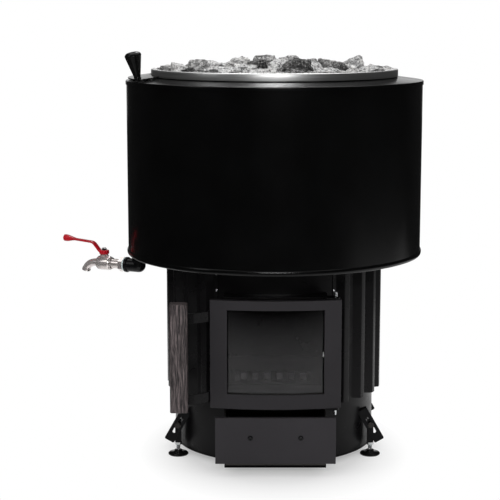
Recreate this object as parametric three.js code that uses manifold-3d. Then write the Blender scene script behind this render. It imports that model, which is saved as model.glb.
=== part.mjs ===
// Free-standing wood-burning sauna stove: a firebox with a ribbed air jacket, and above it a water tank
// round a well of stones. Millimetres, +Z up, front towards -Y. The floor is Z = 0, and the origin is the
// middle of the outline seen from above.
import * as THREE from 'three';
import { mergeVertices } from 'three/addons/utils/BufferGeometryUtils.js';
import Module from 'manifold-3d';

const wasm = await Module();
wasm.setup();

// Gaps between pieces
const gap = 0.4;
const slideGap = 0.6;
const overrun = 1;
const weldTolerance = 1e-4;

// Firebox and base
const groundGap = 14;
const baseThickness = 4;
const shellRadius = 206;
const shellWall = 4;
const crownRise = 213;
const crownThickness = 5;
const hearthStep = 1;
const hearthThickness = 4;
const grateWidth = 184;
const grateDepth = 112;
const grateThickness = 8;
const grateRim = 6;
const grateRimThickness = 3;
const grateBar = 13;
const grateSlot = 12;
const grateEnd = 16;
const grateSide = 9;

// Flue collar at the back
const flueRadius = 60;
const flueWall = 2.5;
const flueHeadroom = 12;
const flueClearance = 2;
const flueReach = 106;
const flueInset = 16;
const flueBead = 2;
const flueBeadWidth = 8;

// Ribbed jacket
const mantleDrop = 5;
const mantleHeight = 270;
const mantleSheet = 1.2;
const ribDepth = 14.8;
const ribWidth = 13;
const ribFlank = 10;
const ribPitch = 50.2;
const mantleInset = 12.4;

// Door
const doorStile = 33;
const doorHead = 19;
const draughtGap = 15;
const doorReach = 41;
const doorCurve = 540;
const doorSheet = 3;
const doorDepth = 13;
const windowWidth = 188;
const windowHeight = 166;
const windowSill = 29;
const gasketThickness = 3;
const glassThickness = 4;
const glassOverlap = 9;
const retainerThickness = 2;
const retainerOverlap = 11;
const closingGap = 1;
const throatInset = 27;
const throatWall = 4;
const hingeInset = 11;
const hingePinRadius = 3.5;
const hingePinBite = 20;
const hingePinHead = 4.3;
const hingePinHeadHeight = 10;
const knuckleWall = 2.1;
const knuckleLength = 24;
const lugRadius = 8;
const catchWidth = 16;
const catchThickness = 3;
const catchLength = 26;
const keeperThickness = 4;

// Door handle
const handleWidth = 34;
const handleDepth = 28;
const handleRise = 2;
const handleForward = 18;
const handleReach = 58.5;
const handleCorner = 3;
const bracketThickness = 3.6;
const bracketHeight = 20.5;
const bracketTab = 10;
const bracketPlate = 40;
const bracketLow = 11;
const bracketHeadroom = 22.5;

// Ash drawer
const drawerWidth = 234;
const drawerHeight = 92;
const drawerBottom = 28;
const drawerSheet = 3;
const drawerLip = 10;
const drawerReach = 46;
const trayWidth = 194;
const trayLength = 292;
const trayHeight = 74;
const trayWall = 1.6;
const guideWall = 2;
const guideLedge = 14;
const guideLedgeHeight = 6;
const guideDrop = 2;
const guideLength = 290;
const sillReach = 26;
const sillLip = 3;
const drawerBoltSpacing = 98;
const drawerBoltRise = 52;
const drawerBoltRadius = 3;
const drawerBoltHead = 6;
const drawerBoltHeadHeight = 3;
const drawerBoltLength = 9;

// Legs, given for the right front one
const legPlane = 107;
const legLength = 74;
const legWidth = 21.5;
const legThickness = 5;
const legLean = 29.5;
const legMiddle = 64.75;
const legSlotPlay = 0.5;
const legSlotLength = 38;
const legWebDepth = 30;
const carrierWidth = 12;
const carrierDepth = 17;
const carrierBottom = 27;
const carrierRise = 7.25;
const carrierGap = 4.3;
const legBoltRadius = 3;
const legBoltHead = 5.8;
const legBoltHeadHeight = 4;
const legBoltBite = 13;
const footScrewRadius = 4;
const footScrewClearance = 9.75;
const footPadRadius = 20.5;
const footPadHeight = 5;
const footHubRadius = 8.5;
const footHubHeight = 10;
const footBevel = 1;
const footNutRadius = 7.5;
const footNutHeight = 6;

// Water tank
const wellGap = 35;
const tankWidth = 57;
const tankGap = 7;
const tankHeight = 352;
const tankSheet = 2;
const tankSkirt = 12;
const beadHeight = 10;
const beadProud = 2.5;
const coverAngle = 7.4;
const coverSheet = 2.4;
const coverLip = 8;
const coverLipSheet = 1.2;
const bearerHeight = 10;
const bearerWidth = 10;
const bearerCollar = 8;
const bearerInset = 8;
const bearerArms = 4;

// Stone ring and stones
const ringHeight = 14.5;
const ringSheet = 2;
const ringOverhang = 7;
const ringInnerDepth = 12;
const stoneCount = 36;
const stoneSize = 37;
const stoneHeap = 4;
const stoneSink = 21;
const stoneScatter = 13;
const stoneBedDrop = 20;
const stoneSpread = [0.8, 1.15];
const stoneSwell = [0.82, 1.18];
const stoneStretch = [1, 1.35];
const stoneFlatness = [0.72, 0.92];
const stoneTilt = 29;
const stoneSeed = 41;

// Filling hatch, angles counted from the left side towards the front
const hatchFront = 27;
const hatchHinge = -38;
const hatchFrontMargin = 11;
const hatchHingeMargin = 7;
const hatchInnerInset = 2.5;
const hatchOuterInset = 3.5;
const hatchOverlap = 5;
const hatchSheet = 2.5;
const lidPinRadius = 2.2;
const lidPinProud = 1;
const lidKnuckleRadius = 4.5;
const lidEarWidth = 5;
const lidEarInset = 3;
const knobInset = 6.5;
const knobOffset = 13;
const knobHeight = 54.5;
const knobTop = 16.5;
const knobNeck = 6.6;
const knobCollar = 7.4;
const knobCollarHeight = 3;
const knobShoulder = 1;
const knobDome = 7;

// Tap under the tank at the left
const tapInset = 4;
const tapDrop = 32;
const tapTurn = 25;
const pipeRadius = 14;
const pipeBore = 6.5;
const nippleRadius = 10;
const nippleRise = 7;
const elbowReach = 31;
const elbowBead = 2;
const elbowBeadWidth = 6;
const nutWidth = 13;
const nutRadius = 15.5;
const barrelRadius = 10;
const barrelLength = 36;
const chamberRadius = 14.5;
const chamberLength = 31;
const chamberBevel = 3;
const collarWidth = 4;
const collarProud = 2.5;
const ballRadius = 10.4;
const stemRadius = 3.6;
const stemProud = 1;
const bonnetRadius = 8.5;
const bonnetTop = 18.6;
const spoutRadius = 8;
const spoutBore = 6;
const spoutReach = 29.3;
const spoutKnee = 4;
const spoutBite = 2;
const spoutDrop = 19;
const leverHubRadius = 9;
const leverHubHeight = 8;
const leverThickness = 4.4;
const leverWidth = 12;
const leverKneeReach = 25.6;
const leverKneeRise = 19;
const leverLength = 99.4;
const leverEndRise = 24;
const gripRadius = 6.8;
const gripLength = 36;
const gripTip = 1;
const leverNutRadius = 6;
const leverNutHeight = 4;

// Facets of round pieces
const drumSteps = 60;
const shellSteps = 48;
const pipeSteps = 16;
const boltSteps = 10;
const hexSteps = 6;
const spoutSteps = 7;
const arcSteps = 12;

const deg = THREE.MathUtils.degToRad;

// Closed shapes

function boxShape([x0, y0, z0], [x1, y1, z1]) {
  const box = new THREE.BoxGeometry(x1 - x0, y1 - y0, z1 - z0);
  return box.translate((x0 + x1) / 2, (y0 + y1) / 2, (z0 + z1) / 2);
}

function rodShape(radius, from, to, steps = pipeSteps) {
  const start = new THREE.Vector3(...from);
  const along = new THREE.Vector3(...to).sub(start);
  const rod = new THREE.CylinderGeometry(radius, radius, along.length(), steps);
  const turn = new THREE.Quaternion().setFromUnitVectors(
    new THREE.Vector3(0, 1, 0),
    along.clone().normalize(),
  );
  const middle = start.addScaledVector(along, 0.5);
  return rod.applyQuaternion(turn).translate(middle.x, middle.y, middle.z);
}

// Turned about Z from an outline of [radius, height] points
function turnedShape(outline, steps = pipeSteps) {
  const points = outline.map(([radius, height]) => new THREE.Vector2(radius, height));
  if (THREE.ShapeUtils.isClockWise(points)) points.reverse();
  points.push(points[0].clone());
  return new THREE.LatheGeometry(points, steps).rotateX(Math.PI / 2);
}

function discShape(radius, low, high, steps) {
  return turnedShape([[0, low], [radius, low], [radius, high], [0, high]], steps);
}

// A wall of revolution between two radii
function ringShape(inner, outer, low, high, steps) {
  return turnedShape([[inner, low], [outer, low], [outer, high], [inner, high]], steps);
}

// An outline of [x, y] points pushed up from one height to another
function prismShape(outline, low, high) {
  const shape = new THREE.Shape(outline.map(([x, y]) => new THREE.Vector2(x, y)));
  const prism = new THREE.ExtrudeGeometry(shape, { depth: high - low, bevelEnabled: false });
  return prism.translate(0, 0, low);
}

// The outline of a strip of even thickness along a line of [x, y] points
function stripOutline(line, thickness) {
  const points = line.map(([x, y]) => new THREE.Vector2(x, y));
  const last = points.length - 1;
  const heading = (i) => points[i + 1].clone().sub(points[i]).normalize();
  const side = (sign) => points.map((point, i) => {
    const out = heading(Math.min(i, last - 1));
    const mitre = heading(Math.max(i - 1, 0)).add(out).normalize();
    const reach = (sign * thickness) / 2 / mitre.dot(out);
    return [point.x - mitre.y * reach, point.y + mitre.x * reach];
  });
  return [...side(1), ...side(-1).reverse()];
}

// A rectangle about the origin with round corners
function roundedOutline(halfX, halfY, corner) {
  const quarters = [[1, 1, 0], [-1, 1, 90], [-1, -1, 180], [1, -1, 270]];
  return quarters.flatMap(([sideX, sideY, start]) => [0, 30, 60, 90].map((turn) => [
    sideX * (halfX - corner) + corner * Math.cos(deg(start + turn)),
    sideY * (halfY - corner) + corner * Math.sin(deg(start + turn)),
  ]));
}

// Joining and cutting

function solidOf(shape) {
  if (!shape.isBufferGeometry) return shape;
  const bare = shape.index ? shape.toNonIndexed() : shape.clone();
  bare.deleteAttribute('normal');
  bare.deleteAttribute('uv');
  const merged = mergeVertices(bare, weldTolerance);
  return new wasm.Manifold(new wasm.Mesh({
    numProp: 3,
    vertProperties: merged.attributes.position.array,
    triVerts: new Uint32Array(merged.index.array),
  }));
}

function join(...shapes) {
  return shapes.map(solidOf).reduce((whole, part) => whole.add(part));
}

function cut(shape, ...tools) {
  return tools.map(solidOf).reduce((left, tool) => left.subtract(tool), solidOf(shape));
}

function geometryOf(shape) {
  const mesh = solidOf(shape).getMesh();
  const geometry = new THREE.BufferGeometry();
  geometry.setAttribute('position', new THREE.BufferAttribute(mesh.vertProperties, 3));
  geometry.setIndex(new THREE.BufferAttribute(mesh.triVerts, 1));
  const faceted = geometry.toNonIndexed();
  faceted.computeVertexNormals();
  return faceted;
}

function addPiece(parent, name, shape, material) {
  const mesh = new THREE.Mesh(geometryOf(shape), material);
  mesh.name = name;
  parent.add(mesh);
  return mesh;
}

function addGroup(parent, x = 0, y = 0, z = 0) {
  const group = new THREE.Group();
  group.position.set(x, y, z);
  parent.add(group);
  return group;
}

// Finishes

function finish(color, roughness, metalness) {
  return new THREE.MeshStandardMaterial({ color, roughness, metalness });
}

const glossBlack = finish(0x0a0a0b, 0.12, 0);
const charcoal = finish(0x2e2c2f, 0.55, 0);
const rawIron = finish(0x3a3836, 0.75, 0.6);
const brushedSteel = finish(0x8d8f90, 0.35, 1);
const zinc = finish(0xc9ccce, 0.3, 1);
const nickel = finish(0xb9b4a8, 0.22, 1);
const redCoat = finish(0xb3121d, 0.35, 0);
const darkWood = finish(0x4b4442, 0.7, 0);
const blackPlastic = finish(0x101011, 0.3, 0);
const rope = finish(0x8a8478, 0.95, 0);
const stone = finish(0x8b8c8d, 0.9, 0);
const smokedGlass = new THREE.MeshStandardMaterial({
  color: 0x1a1a1c,
  roughness: 0.05,
  metalness: 0,
  transparent: true,
  opacity: 0.35,
});

// Places that several pieces share

const baseTop = groundGap + baseThickness;
const drawerTop = drawerBottom + drawerHeight;
const doorWidth = windowWidth + doorStile * 2;
const doorHeight = windowSill + windowHeight + doorHead;
const doorBottom = drawerTop + draughtGap;
const doorFace = -(shellRadius + doorReach);
const drawerFace = -(shellRadius + drawerReach);
const throatHalf = doorWidth / 2 - throatInset;
const throatBottom = doorBottom - slideGap - throatWall;
const throatTop = doorBottom + doorHeight + slideGap + throatWall;
const hearthHeight = doorBottom + hearthStep;
const guideHalf = trayWidth / 2 + slideGap + guideWall;
const guideTop = drawerTop - guideDrop;
const guideLedgeTop = baseTop + gap + guideLedgeHeight;
const trayBottom = guideLedgeTop + gap;
const mantleBottom = doorBottom - mantleDrop;
const mantleTop = mantleBottom + mantleHeight;
const mantleRadius = shellRadius + gap + ribDepth + mantleSheet;
const tankBottom = mantleTop + tankGap;
const tankTop = tankBottom + tankHeight;
const tankFloorLow = tankBottom + tankSkirt;
const crownHeight = tankBottom + crownRise;
const flueHeight = tankBottom - flueHeadroom - flueRadius;
const wellRadius = shellRadius + wellGap;
const wellOuter = wellRadius + tankSheet;
const tankRadius = wellOuter + tankWidth;
const coverSlope = Math.tan(deg(coverAngle));
const coverAt = (radius) => tankTop + (tankRadius - radius) * coverSlope;
const ringOuter = wellOuter + ringOverhang;
const ringBottom = coverAt(wellOuter) + gap;
const ringTop = ringBottom + ringHeight;

const stove = new THREE.Group();

// Base, firebox and flue

function basePlate() {
  const disc = discShape(shellRadius, groundGap, baseTop, shellSteps);
  const sillFront = -(shellRadius + sillReach);
  const tongue = boxShape([-guideHalf, sillFront, groundGap], [guideHalf, 0, baseTop]);
  const lip = boxShape(
    [-guideHalf, sillFront, groundGap],
    [guideHalf, sillFront + guideWall, baseTop + sillLip],
  );
  return join(disc, tongue, lip);
}

function fireboxShell() {
  const top = crownHeight - crownThickness - gap;
  const wall = ringShape(shellRadius - shellWall, shellRadius, baseTop + gap, top, shellSteps);
  const throat = boxShape(
    [-throatHalf - gap, -shellRadius * 2, throatBottom - gap],
    [throatHalf + gap, 0, throatTop + gap],
  );
  const drawerWay = boxShape([-guideHalf - gap, -shellRadius * 2, 0], [guideHalf + gap, 0, guideTop + gap]);
  const flueEnd = [0, shellRadius * 2, flueHeight];
  const flue = rodShape(flueRadius + gap, [0, 0, flueHeight], flueEnd, shellSteps / 2);
  return cut(wall, throat, drawerWay, flue);
}

function fireboxCrown() {
  return discShape(wellRadius - gap, crownHeight - crownThickness, crownHeight, drumSteps);
}

function hearthPlate() {
  const radius = shellRadius - shellWall - gap * 2;
  const disc = discShape(radius, hearthHeight - hearthThickness, hearthHeight, shellSteps);
  const halfX = grateWidth / 2;
  const halfY = grateDepth / 2;
  return cut(disc, boxShape([-halfX, -halfY, 0], [halfX, halfY, hearthHeight * 2]));
}

function grate() {
  const rimLow = hearthHeight + gap;
  const rimTop = rimLow + grateRimThickness;
  const halfX = grateWidth / 2;
  const halfY = grateDepth / 2;
  const rim = boxShape(
    [-halfX - grateRim, -halfY - grateRim, rimLow],
    [halfX + grateRim, halfY + grateRim, rimTop],
  );
  const body = boxShape(
    [-halfX + gap, -halfY + gap, rimTop - grateThickness],
    [halfX - gap, halfY - gap, rimTop],
  );
  const pitch = grateBar + grateSlot;
  const count = Math.floor((grateWidth - grateSide * 2 + grateBar) / pitch);
  const slotEnd = halfY - grateEnd;
  const slots = Array.from({ length: count }, (_, i) => {
    const x = (i - (count - 1) / 2) * pitch;
    return boxShape([x - grateSlot / 2, -slotEnd, 0], [x + grateSlot / 2, slotEnd, rimTop * 2]);
  });
  return cut(join(rim, body), ...slots);
}

function flueCollar() {
  const start = shellRadius - flueInset;
  const end = shellRadius + flueReach;
  const outside = flueRadius + flueBead;
  const outline = [
    [flueRadius - flueWall, start],
    [flueRadius, start],
    [flueRadius, end - flueBeadWidth * 3],
    [outside, end - flueBeadWidth * 2.5],
    [outside, end - flueBeadWidth * 1.5],
    [flueRadius, end - flueBeadWidth],
    [flueRadius, end],
    [flueRadius - flueWall, end],
  ];
  return turnedShape(outline, shellSteps / 2).rotateX(-Math.PI / 2).translate(0, 0, flueHeight);
}

addPiece(stove, 'base_plate', basePlate(), charcoal);
addPiece(stove, 'firebox_shell', fireboxShell(), charcoal);
addPiece(stove, 'firebox_crown', fireboxCrown(), rawIron);
addPiece(stove, 'hearth_plate', hearthPlate(), rawIron);
addPiece(stove, 'grate', grate(), rawIron);
addPiece(stove, 'flue_collar', flueCollar(), charcoal);

// Ribbed jacket halves and the spider that carries the tank

// The jacket's right half seen from above, from the door round to the flue
function mantleOutline() {
  const valleyRadius = shellRadius + gap;
  const front = Math.asin((throatHalf + mantleInset) / valleyRadius);
  const back = Math.PI - Math.asin((flueRadius + flueClearance) / valleyRadius);
  const ribCount = Math.round(((back - front) * mantleRadius) / ribPitch);
  const pitch = (back - front) / ribCount;
  const rib = ribWidth / mantleRadius;
  const flank = ribFlank / mantleRadius;
  const valley = (pitch - rib) / 2 - flank;
  const slant = Math.hypot(ribDepth, ribFlank);
  const skin = (mantleSheet * (slant - ribFlank)) / ribDepth / mantleRadius;
  const at = (radius, angle) => [radius * Math.sin(angle), -radius * Math.cos(angle)];
  const outside = [];
  const inside = [];
  for (let i = 0; i < ribCount; i += 1) {
    const start = front + i * pitch;
    const rise = start + valley;
    const fall = start + pitch - valley;
    outside.push(at(valleyRadius + mantleSheet, start), at(valleyRadius + mantleSheet, rise));
    outside.push(at(mantleRadius, rise + flank), at(mantleRadius, fall - flank));
    outside.push(at(valleyRadius + mantleSheet, fall));
    inside.push(at(valleyRadius, start), at(valleyRadius, rise + skin));
    inside.push(at(mantleRadius - mantleSheet, rise + flank + skin));
    inside.push(at(mantleRadius - mantleSheet, fall - flank - skin), at(valleyRadius, fall - skin));
  }
  outside.push(at(valleyRadius + mantleSheet, back));
  inside.push(at(valleyRadius, back));
  return [...outside, ...inside.reverse()];
}

function tankBearer() {
  const high = tankFloorLow - gap;
  const low = high - bearerHeight;
  const inner = shellRadius + gap;
  const collar = ringShape(inner, inner + bearerCollar, low, high, shellSteps);
  const reach = tankRadius - tankSheet - bearerInset;
  const arms = Array.from({ length: bearerArms }, (_, i) => {
    const arm = boxShape([inner + bearerCollar / 2, -bearerWidth / 2, low], [reach, bearerWidth / 2, high]);
    return arm.rotateZ(((i + 0.5) * 2 * Math.PI) / bearerArms);
  });
  return join(collar, ...arms);
}

for (const [side, mirror] of [['left', -1], ['right', 1]]) {
  const jacket = prismShape(mantleOutline(), mantleBottom, mantleTop);
  const half = addPiece(stove, `mantle_${side}`, jacket, charcoal);
  half.scale.x = mirror;
}
addPiece(stove, 'tank_bearer', tankBearer(), charcoal);

// Door, in its own frame: the middle of its outer face at Y = 0 and its lower edge at Z = 0

const curveAt = (x, depth) => doorCurve - Math.sqrt((doorCurve - depth) ** 2 - x ** 2);

// A plate that follows the door's curve between two depths behind its outer face
function curvedPlate(half, low, high, front, back) {
  const steps = Array.from({ length: arcSteps + 1 }, (_, i) => half * ((2 * i) / arcSteps - 1));
  const outer = steps.map((x) => [x, curveAt(x, front)]);
  const inner = steps.map((x) => [x, curveAt(x, back)]).reverse();
  return prismShape([...outer, ...inner], low, high);
}

function windowHole() {
  const half = windowWidth / 2;
  return boxShape([-half, -doorDepth, windowSill], [half, doorDepth * 4, windowSill + windowHeight]);
}

// A curved plate round the window that reaches past its edges
function windowFrame(overlap, front, thickness) {
  const low = windowSill - overlap;
  const high = windowSill + windowHeight + overlap;
  return cut(curvedPlate(windowWidth / 2 + overlap, low, high, front, front + thickness), windowHole());
}

const hingeX = doorWidth / 2 - hingeInset;
const knuckleRadius = hingePinRadius + gap + knuckleWall;
const hingeY = curveAt(hingeX, doorSheet) + knuckleRadius - doorSheet / 4;

function hingeBore() {
  const low = [hingeX, hingeY, -doorHeight];
  return rodShape(hingePinRadius + gap, low, [hingeX, hingeY, doorHeight * 2]);
}

function doorPanel() {
  const half = doorWidth / 2;
  const tray = cut(
    curvedPlate(half, 0, doorHeight, 0, doorDepth),
    curvedPlate(half - doorSheet, doorSheet, doorHeight - doorSheet, doorSheet, doorDepth * 2),
  );
  const upper = rodShape(
    knuckleRadius,
    [hingeX, hingeY, doorHeight - doorSheet / 2 - knuckleLength],
    [hingeX, hingeY, doorHeight - doorSheet / 2],
  );
  const lower = rodShape(
    knuckleRadius,
    [hingeX, hingeY, doorSheet / 2],
    [hingeX, hingeY, doorSheet / 2 + knuckleLength],
  );
  return cut(join(tray, upper, lower), windowHole(), hingeBore());
}

const gasketFront = doorSheet + gap;
const glassFront = gasketFront + gasketThickness + gap;
const retainerFront = glassFront + glassThickness + gap;
const glassHalf = windowWidth / 2 + glassOverlap;
const glassLow = windowSill - glassOverlap;
const glassHigh = windowSill + windowHeight + glassOverlap;
const glazingBack = retainerFront + retainerThickness;
const handleCentre = -(doorWidth / 2 + handleReach);

function handleBracket() {
  const rimX = -doorWidth / 2 - gap - bracketThickness / 2;
  const rimY = curveAt(doorWidth / 2, doorDepth);
  const plateX = handleCentre + handleWidth / 2 + bracketTab;
  const plateY = handleDepth / 2 - handleForward + gap + bracketThickness / 2;
  const line = [
    [rimX, rimY],
    [rimX, rimY - bracketTab],
    [plateX, plateY],
    [plateX - bracketPlate, plateY],
  ];
  return prismShape(stripOutline(line, bracketThickness), 0, bracketHeight);
}

function handleBar() {
  const outline = roundedOutline(handleWidth / 2, handleDepth / 2, handleCorner);
  return prismShape(outline, 0, doorHeight - handleRise);
}

const door = addGroup(stove, 0, doorFace, doorBottom);
addPiece(door, 'door_panel', doorPanel(), charcoal);
addPiece(door, 'glass_gasket', windowFrame(glassOverlap, gasketFront, gasketThickness), rope);
addPiece(
  door,
  'door_glass',
  curvedPlate(glassHalf, glassLow, glassHigh, glassFront, glassFront + glassThickness),
  smokedGlass,
);
addPiece(door, 'glass_retainer', windowFrame(retainerOverlap, retainerFront, retainerThickness), rawIron);
const handle = addPiece(door, 'handle_bar', handleBar(), darkWood);
handle.position.set(handleCentre, -handleForward, handleRise);
const upperBracket = addPiece(door, 'handle_bracket_upper', handleBracket(), charcoal);
upperBracket.position.z = doorHeight - bracketHeadroom - bracketHeight;
const lowerBracket = addPiece(door, 'handle_bracket_lower', handleBracket(), charcoal);
lowerBracket.position.z = bracketLow;

// Door catch at the handle side, and the keeper on the throat that it rides past

const catchX = -throatHalf - keeperThickness - slideGap * 2;
const catchY = curveAt(catchX - catchThickness, doorSheet) + gap;

function doorCatch() {
  const middle = doorHeight / 2;
  return boxShape(
    [catchX - catchThickness, catchY, middle - catchWidth / 2],
    [catchX, catchY + catchLength, middle + catchWidth / 2],
  );
}

addPiece(door, 'door_catch', doorCatch(), zinc);

// Throat that carries the door, in the door's frame

function doorFrame() {
  const front = glazingBack + closingGap;
  const back = doorReach + shellWall * 4;
  const low = throatBottom - doorBottom;
  const high = throatTop - doorBottom;
  const tube = cut(
    curvedPlate(throatHalf, low, high, front, back + shellRadius / 2),
    curvedPlate(throatHalf - throatWall, low + throatWall, high - throatWall, 0, back + shellRadius),
  );
  const firebox = rodShape(
    shellRadius - shellWall,
    [0, -doorFace, low - throatWall],
    [0, -doorFace, high + throatWall],
    shellSteps,
  );
  const lug = (bottom) => {
    const eye = rodShape(lugRadius, [hingeX, hingeY, bottom], [hingeX, hingeY, bottom + throatWall]);
    const arm = boxShape(
      [throatHalf - throatWall, hingeY - lugRadius, bottom],
      [hingeX, hingeY + lugRadius * 2, bottom + throatWall],
    );
    return join(eye, arm);
  };
  return cut(join(tube, lug(low), lug(high - throatWall)), firebox, hingeBore());
}

function hingePin(direction) {
  const headLow = slideGap + throatWall + gap;
  const outline = [
    [0, -hingePinBite],
    [hingePinRadius, -hingePinBite],
    [hingePinRadius, headLow],
    [hingePinHead, headLow],
    [hingePinHead, headLow + hingePinHeadHeight],
    [0, headLow + hingePinHeadHeight],
  ];
  return turnedShape(outline).rotateX(direction > 0 ? 0 : Math.PI);
}

const throat = addGroup(stove, 0, doorFace, doorBottom);
addPiece(throat, 'door_frame', doorFrame(), charcoal);
const upperPin = addPiece(throat, 'hinge_pin_upper', hingePin(1), zinc);
upperPin.position.set(hingeX, hingeY, doorHeight);
const lowerPin = addPiece(throat, 'hinge_pin_lower', hingePin(-1), zinc);
lowerPin.position.set(hingeX, hingeY, 0);
addPiece(
  throat,
  'catch_keeper',
  boxShape(
    [-throatHalf - gap - keeperThickness, catchY + catchLength / 2, (doorHeight - catchWidth) / 2],
    [-throatHalf - gap, catchY + catchLength, (doorHeight + catchWidth) / 2],
  ),
  zinc,
);

// Ash drawer, with its front face at Y = 0, and the guides that it slides on

const drawerBoltHeight = drawerBottom + drawerBoltRise;

function drawerBoltWay(side) {
  const x = (side * drawerBoltSpacing) / 2;
  return rodShape(
    drawerBoltRadius + gap,
    [x, -drawerSheet, drawerBoltHeight],
    [x, drawerBoltLength * 2, drawerBoltHeight],
    boltSteps,
  );
}

function drawerFront() {
  const half = drawerWidth / 2;
  const plate = boxShape([-half, 0, drawerBottom], [half, drawerSheet, drawerTop]);
  const lip = boxShape([-half, 0, drawerTop - drawerSheet], [half, drawerLip, drawerTop]);
  return cut(join(plate, lip), drawerBoltWay(-1), drawerBoltWay(1));
}

function drawerTray() {
  const half = trayWidth / 2;
  const start = drawerSheet + gap;
  const outside = boxShape([-half, start, trayBottom], [half, start + trayLength, trayBottom + trayHeight]);
  const inside = boxShape(
    [-half + trayWall, start + trayWall, trayBottom + trayWall],
    [half - trayWall, start + trayLength - trayWall, trayBottom + trayHeight * 2],
  );
  return cut(outside, inside, drawerBoltWay(-1), drawerBoltWay(1));
}

function drawerBolt() {
  const outline = [
    [0, -gap - drawerBoltHeadHeight],
    [drawerBoltHead / 2, -gap - drawerBoltHeadHeight],
    [drawerBoltHead, -gap - drawerBoltHeadHeight / 2],
    [drawerBoltHead, -gap],
    [drawerBoltRadius, -gap],
    [drawerBoltRadius, drawerBoltLength],
    [0, drawerBoltLength],
  ];
  return turnedShape(outline, boltSteps).rotateX(-Math.PI / 2);
}

function drawerGuide() {
  const outer = guideHalf - gap;
  const start = -(shellRadius + sillReach) + guideWall + gap;
  const wall = boxShape([outer - guideWall, start, baseTop + gap], [outer, start + guideLength, guideTop]);
  const ledge = boxShape(
    [outer - guideLedge, start, guideLedgeTop - guideWall],
    [outer, start + guideLength, guideLedgeTop],
  );
  return join(wall, ledge);
}

const drawer = addGroup(stove, 0, drawerFace, 0);
addPiece(drawer, 'drawer_front', drawerFront(), charcoal);
addPiece(drawer, 'drawer_tray', drawerTray(), rawIron);
for (const [side, mirror] of [['left', -1], ['right', 1]]) {
  const bolt = addPiece(drawer, `drawer_bolt_${side}`, drawerBolt(), charcoal);
  bolt.position.set((mirror * drawerBoltSpacing) / 2, 0, drawerBoltHeight);
  const guide = addPiece(stove, `drawer_guide_${side}`, drawerGuide(), rawIron);
  guide.scale.x = mirror;
}

// Legs: a leaning slotted strut on the shell, a foot carrier bolted to it and a levelling foot

const carrierFront = -legPlane + gap;
const carrierBack = carrierFront + carrierDepth;
const carrierTop = legMiddle + carrierRise;
const footScrewTop = legMiddle - legBoltRadius - footScrewClearance;
const shellXAt = (y) => Math.sqrt((shellRadius + gap) ** 2 - y ** 2);
const footX = shellXAt(carrierBack) + carrierGap + carrierWidth / 2;
const footY = carrierFront + carrierDepth / 2;

function legStrut() {
  const lean = deg(legLean);
  const back = -legPlane;
  const outline = roundedOutline(legWidth / 2, legLength / 2, legWidth / 8);
  const slotHalf = legBoltRadius + legSlotPlay;
  const slotOutline = roundedOutline(slotHalf, legSlotLength / 2, slotHalf);
  const place = (shape) => shape.rotateX(Math.PI / 2).rotateY(-lean).translate(footX, back, legMiddle);
  const plate = place(prismShape(outline, 0, legThickness));
  const slot = place(prismShape(slotOutline, -legThickness, legThickness * 2));
  const webTop = legMiddle + (legLength / 2) * Math.cos(lean);
  const webX = footX - (legLength / 2) * Math.sin(lean);
  const web = boxShape(
    [shellXAt(back) - legWidth, back - legThickness, carrierTop + carrierGap],
    [webX + legWidth / 2, back + legWebDepth, webTop],
  );
  const shell = rodShape(shellRadius + gap, [0, 0, 0], [0, 0, mantleBottom], shellSteps);
  return cut(join(plate, web), slot, shell);
}

function footCarrier() {
  const half = carrierWidth / 2;
  const body = boxShape([footX - half, carrierFront, carrierBottom], [footX + half, carrierBack, carrierTop]);
  const threadTop = [footX, footY, footScrewTop + gap * 2];
  const thread = rodShape(footScrewRadius + gap, [footX, footY, 0], threadTop, boltSteps);
  const boltWay = rodShape(
    legBoltRadius + gap,
    [footX, carrierFront - gap, legMiddle],
    [footX, carrierFront + legBoltBite + gap, legMiddle],
    boltSteps,
  );
  return cut(body, thread, boltWay);
}

function legBolt() {
  const head = rodShape(
    legBoltHead,
    [footX, -legPlane - legThickness - gap - legBoltHeadHeight, legMiddle],
    [footX, -legPlane - legThickness - gap, legMiddle],
    hexSteps,
  );
  const shank = rodShape(
    legBoltRadius,
    [footX, -legPlane - legThickness - gap * 2, legMiddle],
    [footX, carrierFront + legBoltBite, legMiddle],
    boltSteps,
  );
  return join(head, shank);
}

function levellingFoot() {
  const body = turnedShape([
    [0, 0],
    [footPadRadius, 0],
    [footPadRadius, footPadHeight - footBevel],
    [footPadRadius - footBevel, footPadHeight],
    [footHubRadius, footPadHeight + footBevel],
    [footHubRadius - footBevel, footHubHeight],
    [footScrewRadius, footHubHeight],
    [footScrewRadius, footScrewTop],
    [0, footScrewTop],
  ]);
  const nutTop = carrierBottom - gap;
  const nut = rodShape(footNutRadius, [0, 0, nutTop - footNutHeight], [0, 0, nutTop], hexSteps);
  return join(body, nut);
}

const corners = [['front_left', -1, 1], ['front_right', 1, 1], ['rear_left', -1, -1], ['rear_right', 1, -1]];
for (const [corner, mirrorX, mirrorY] of corners) {
  const leg = addGroup(stove);
  leg.scale.set(mirrorX, mirrorY, 1);
  addPiece(leg, `leg_strut_${corner}`, legStrut(), charcoal);
  addPiece(leg, `foot_carrier_${corner}`, footCarrier(), charcoal);
  addPiece(leg, `leg_bolt_${corner}`, legBolt(), rawIron);
  const foot = addPiece(leg, `levelling_foot_${corner}`, levellingFoot(), zinc);
  foot.position.set(footX, footY, 0);
}

// Water tank

function tankShell() {
  const inner = tankRadius - tankSheet;
  const proud = tankRadius + beadProud;
  const top = tankTop - coverSheet - gap;
  return turnedShape([
    [inner, tankBottom],
    [tankRadius, tankBottom],
    [proud, tankBottom + beadHeight * 0.25],
    [proud, tankBottom + beadHeight * 0.75],
    [tankRadius, tankBottom + beadHeight],
    [tankRadius, top],
    [inner, top],
  ], drumSteps);
}

const tapX = -(tankRadius - tankSheet - pipeRadius - tapInset);
const tapHeight = tankBottom - tapDrop;

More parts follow.
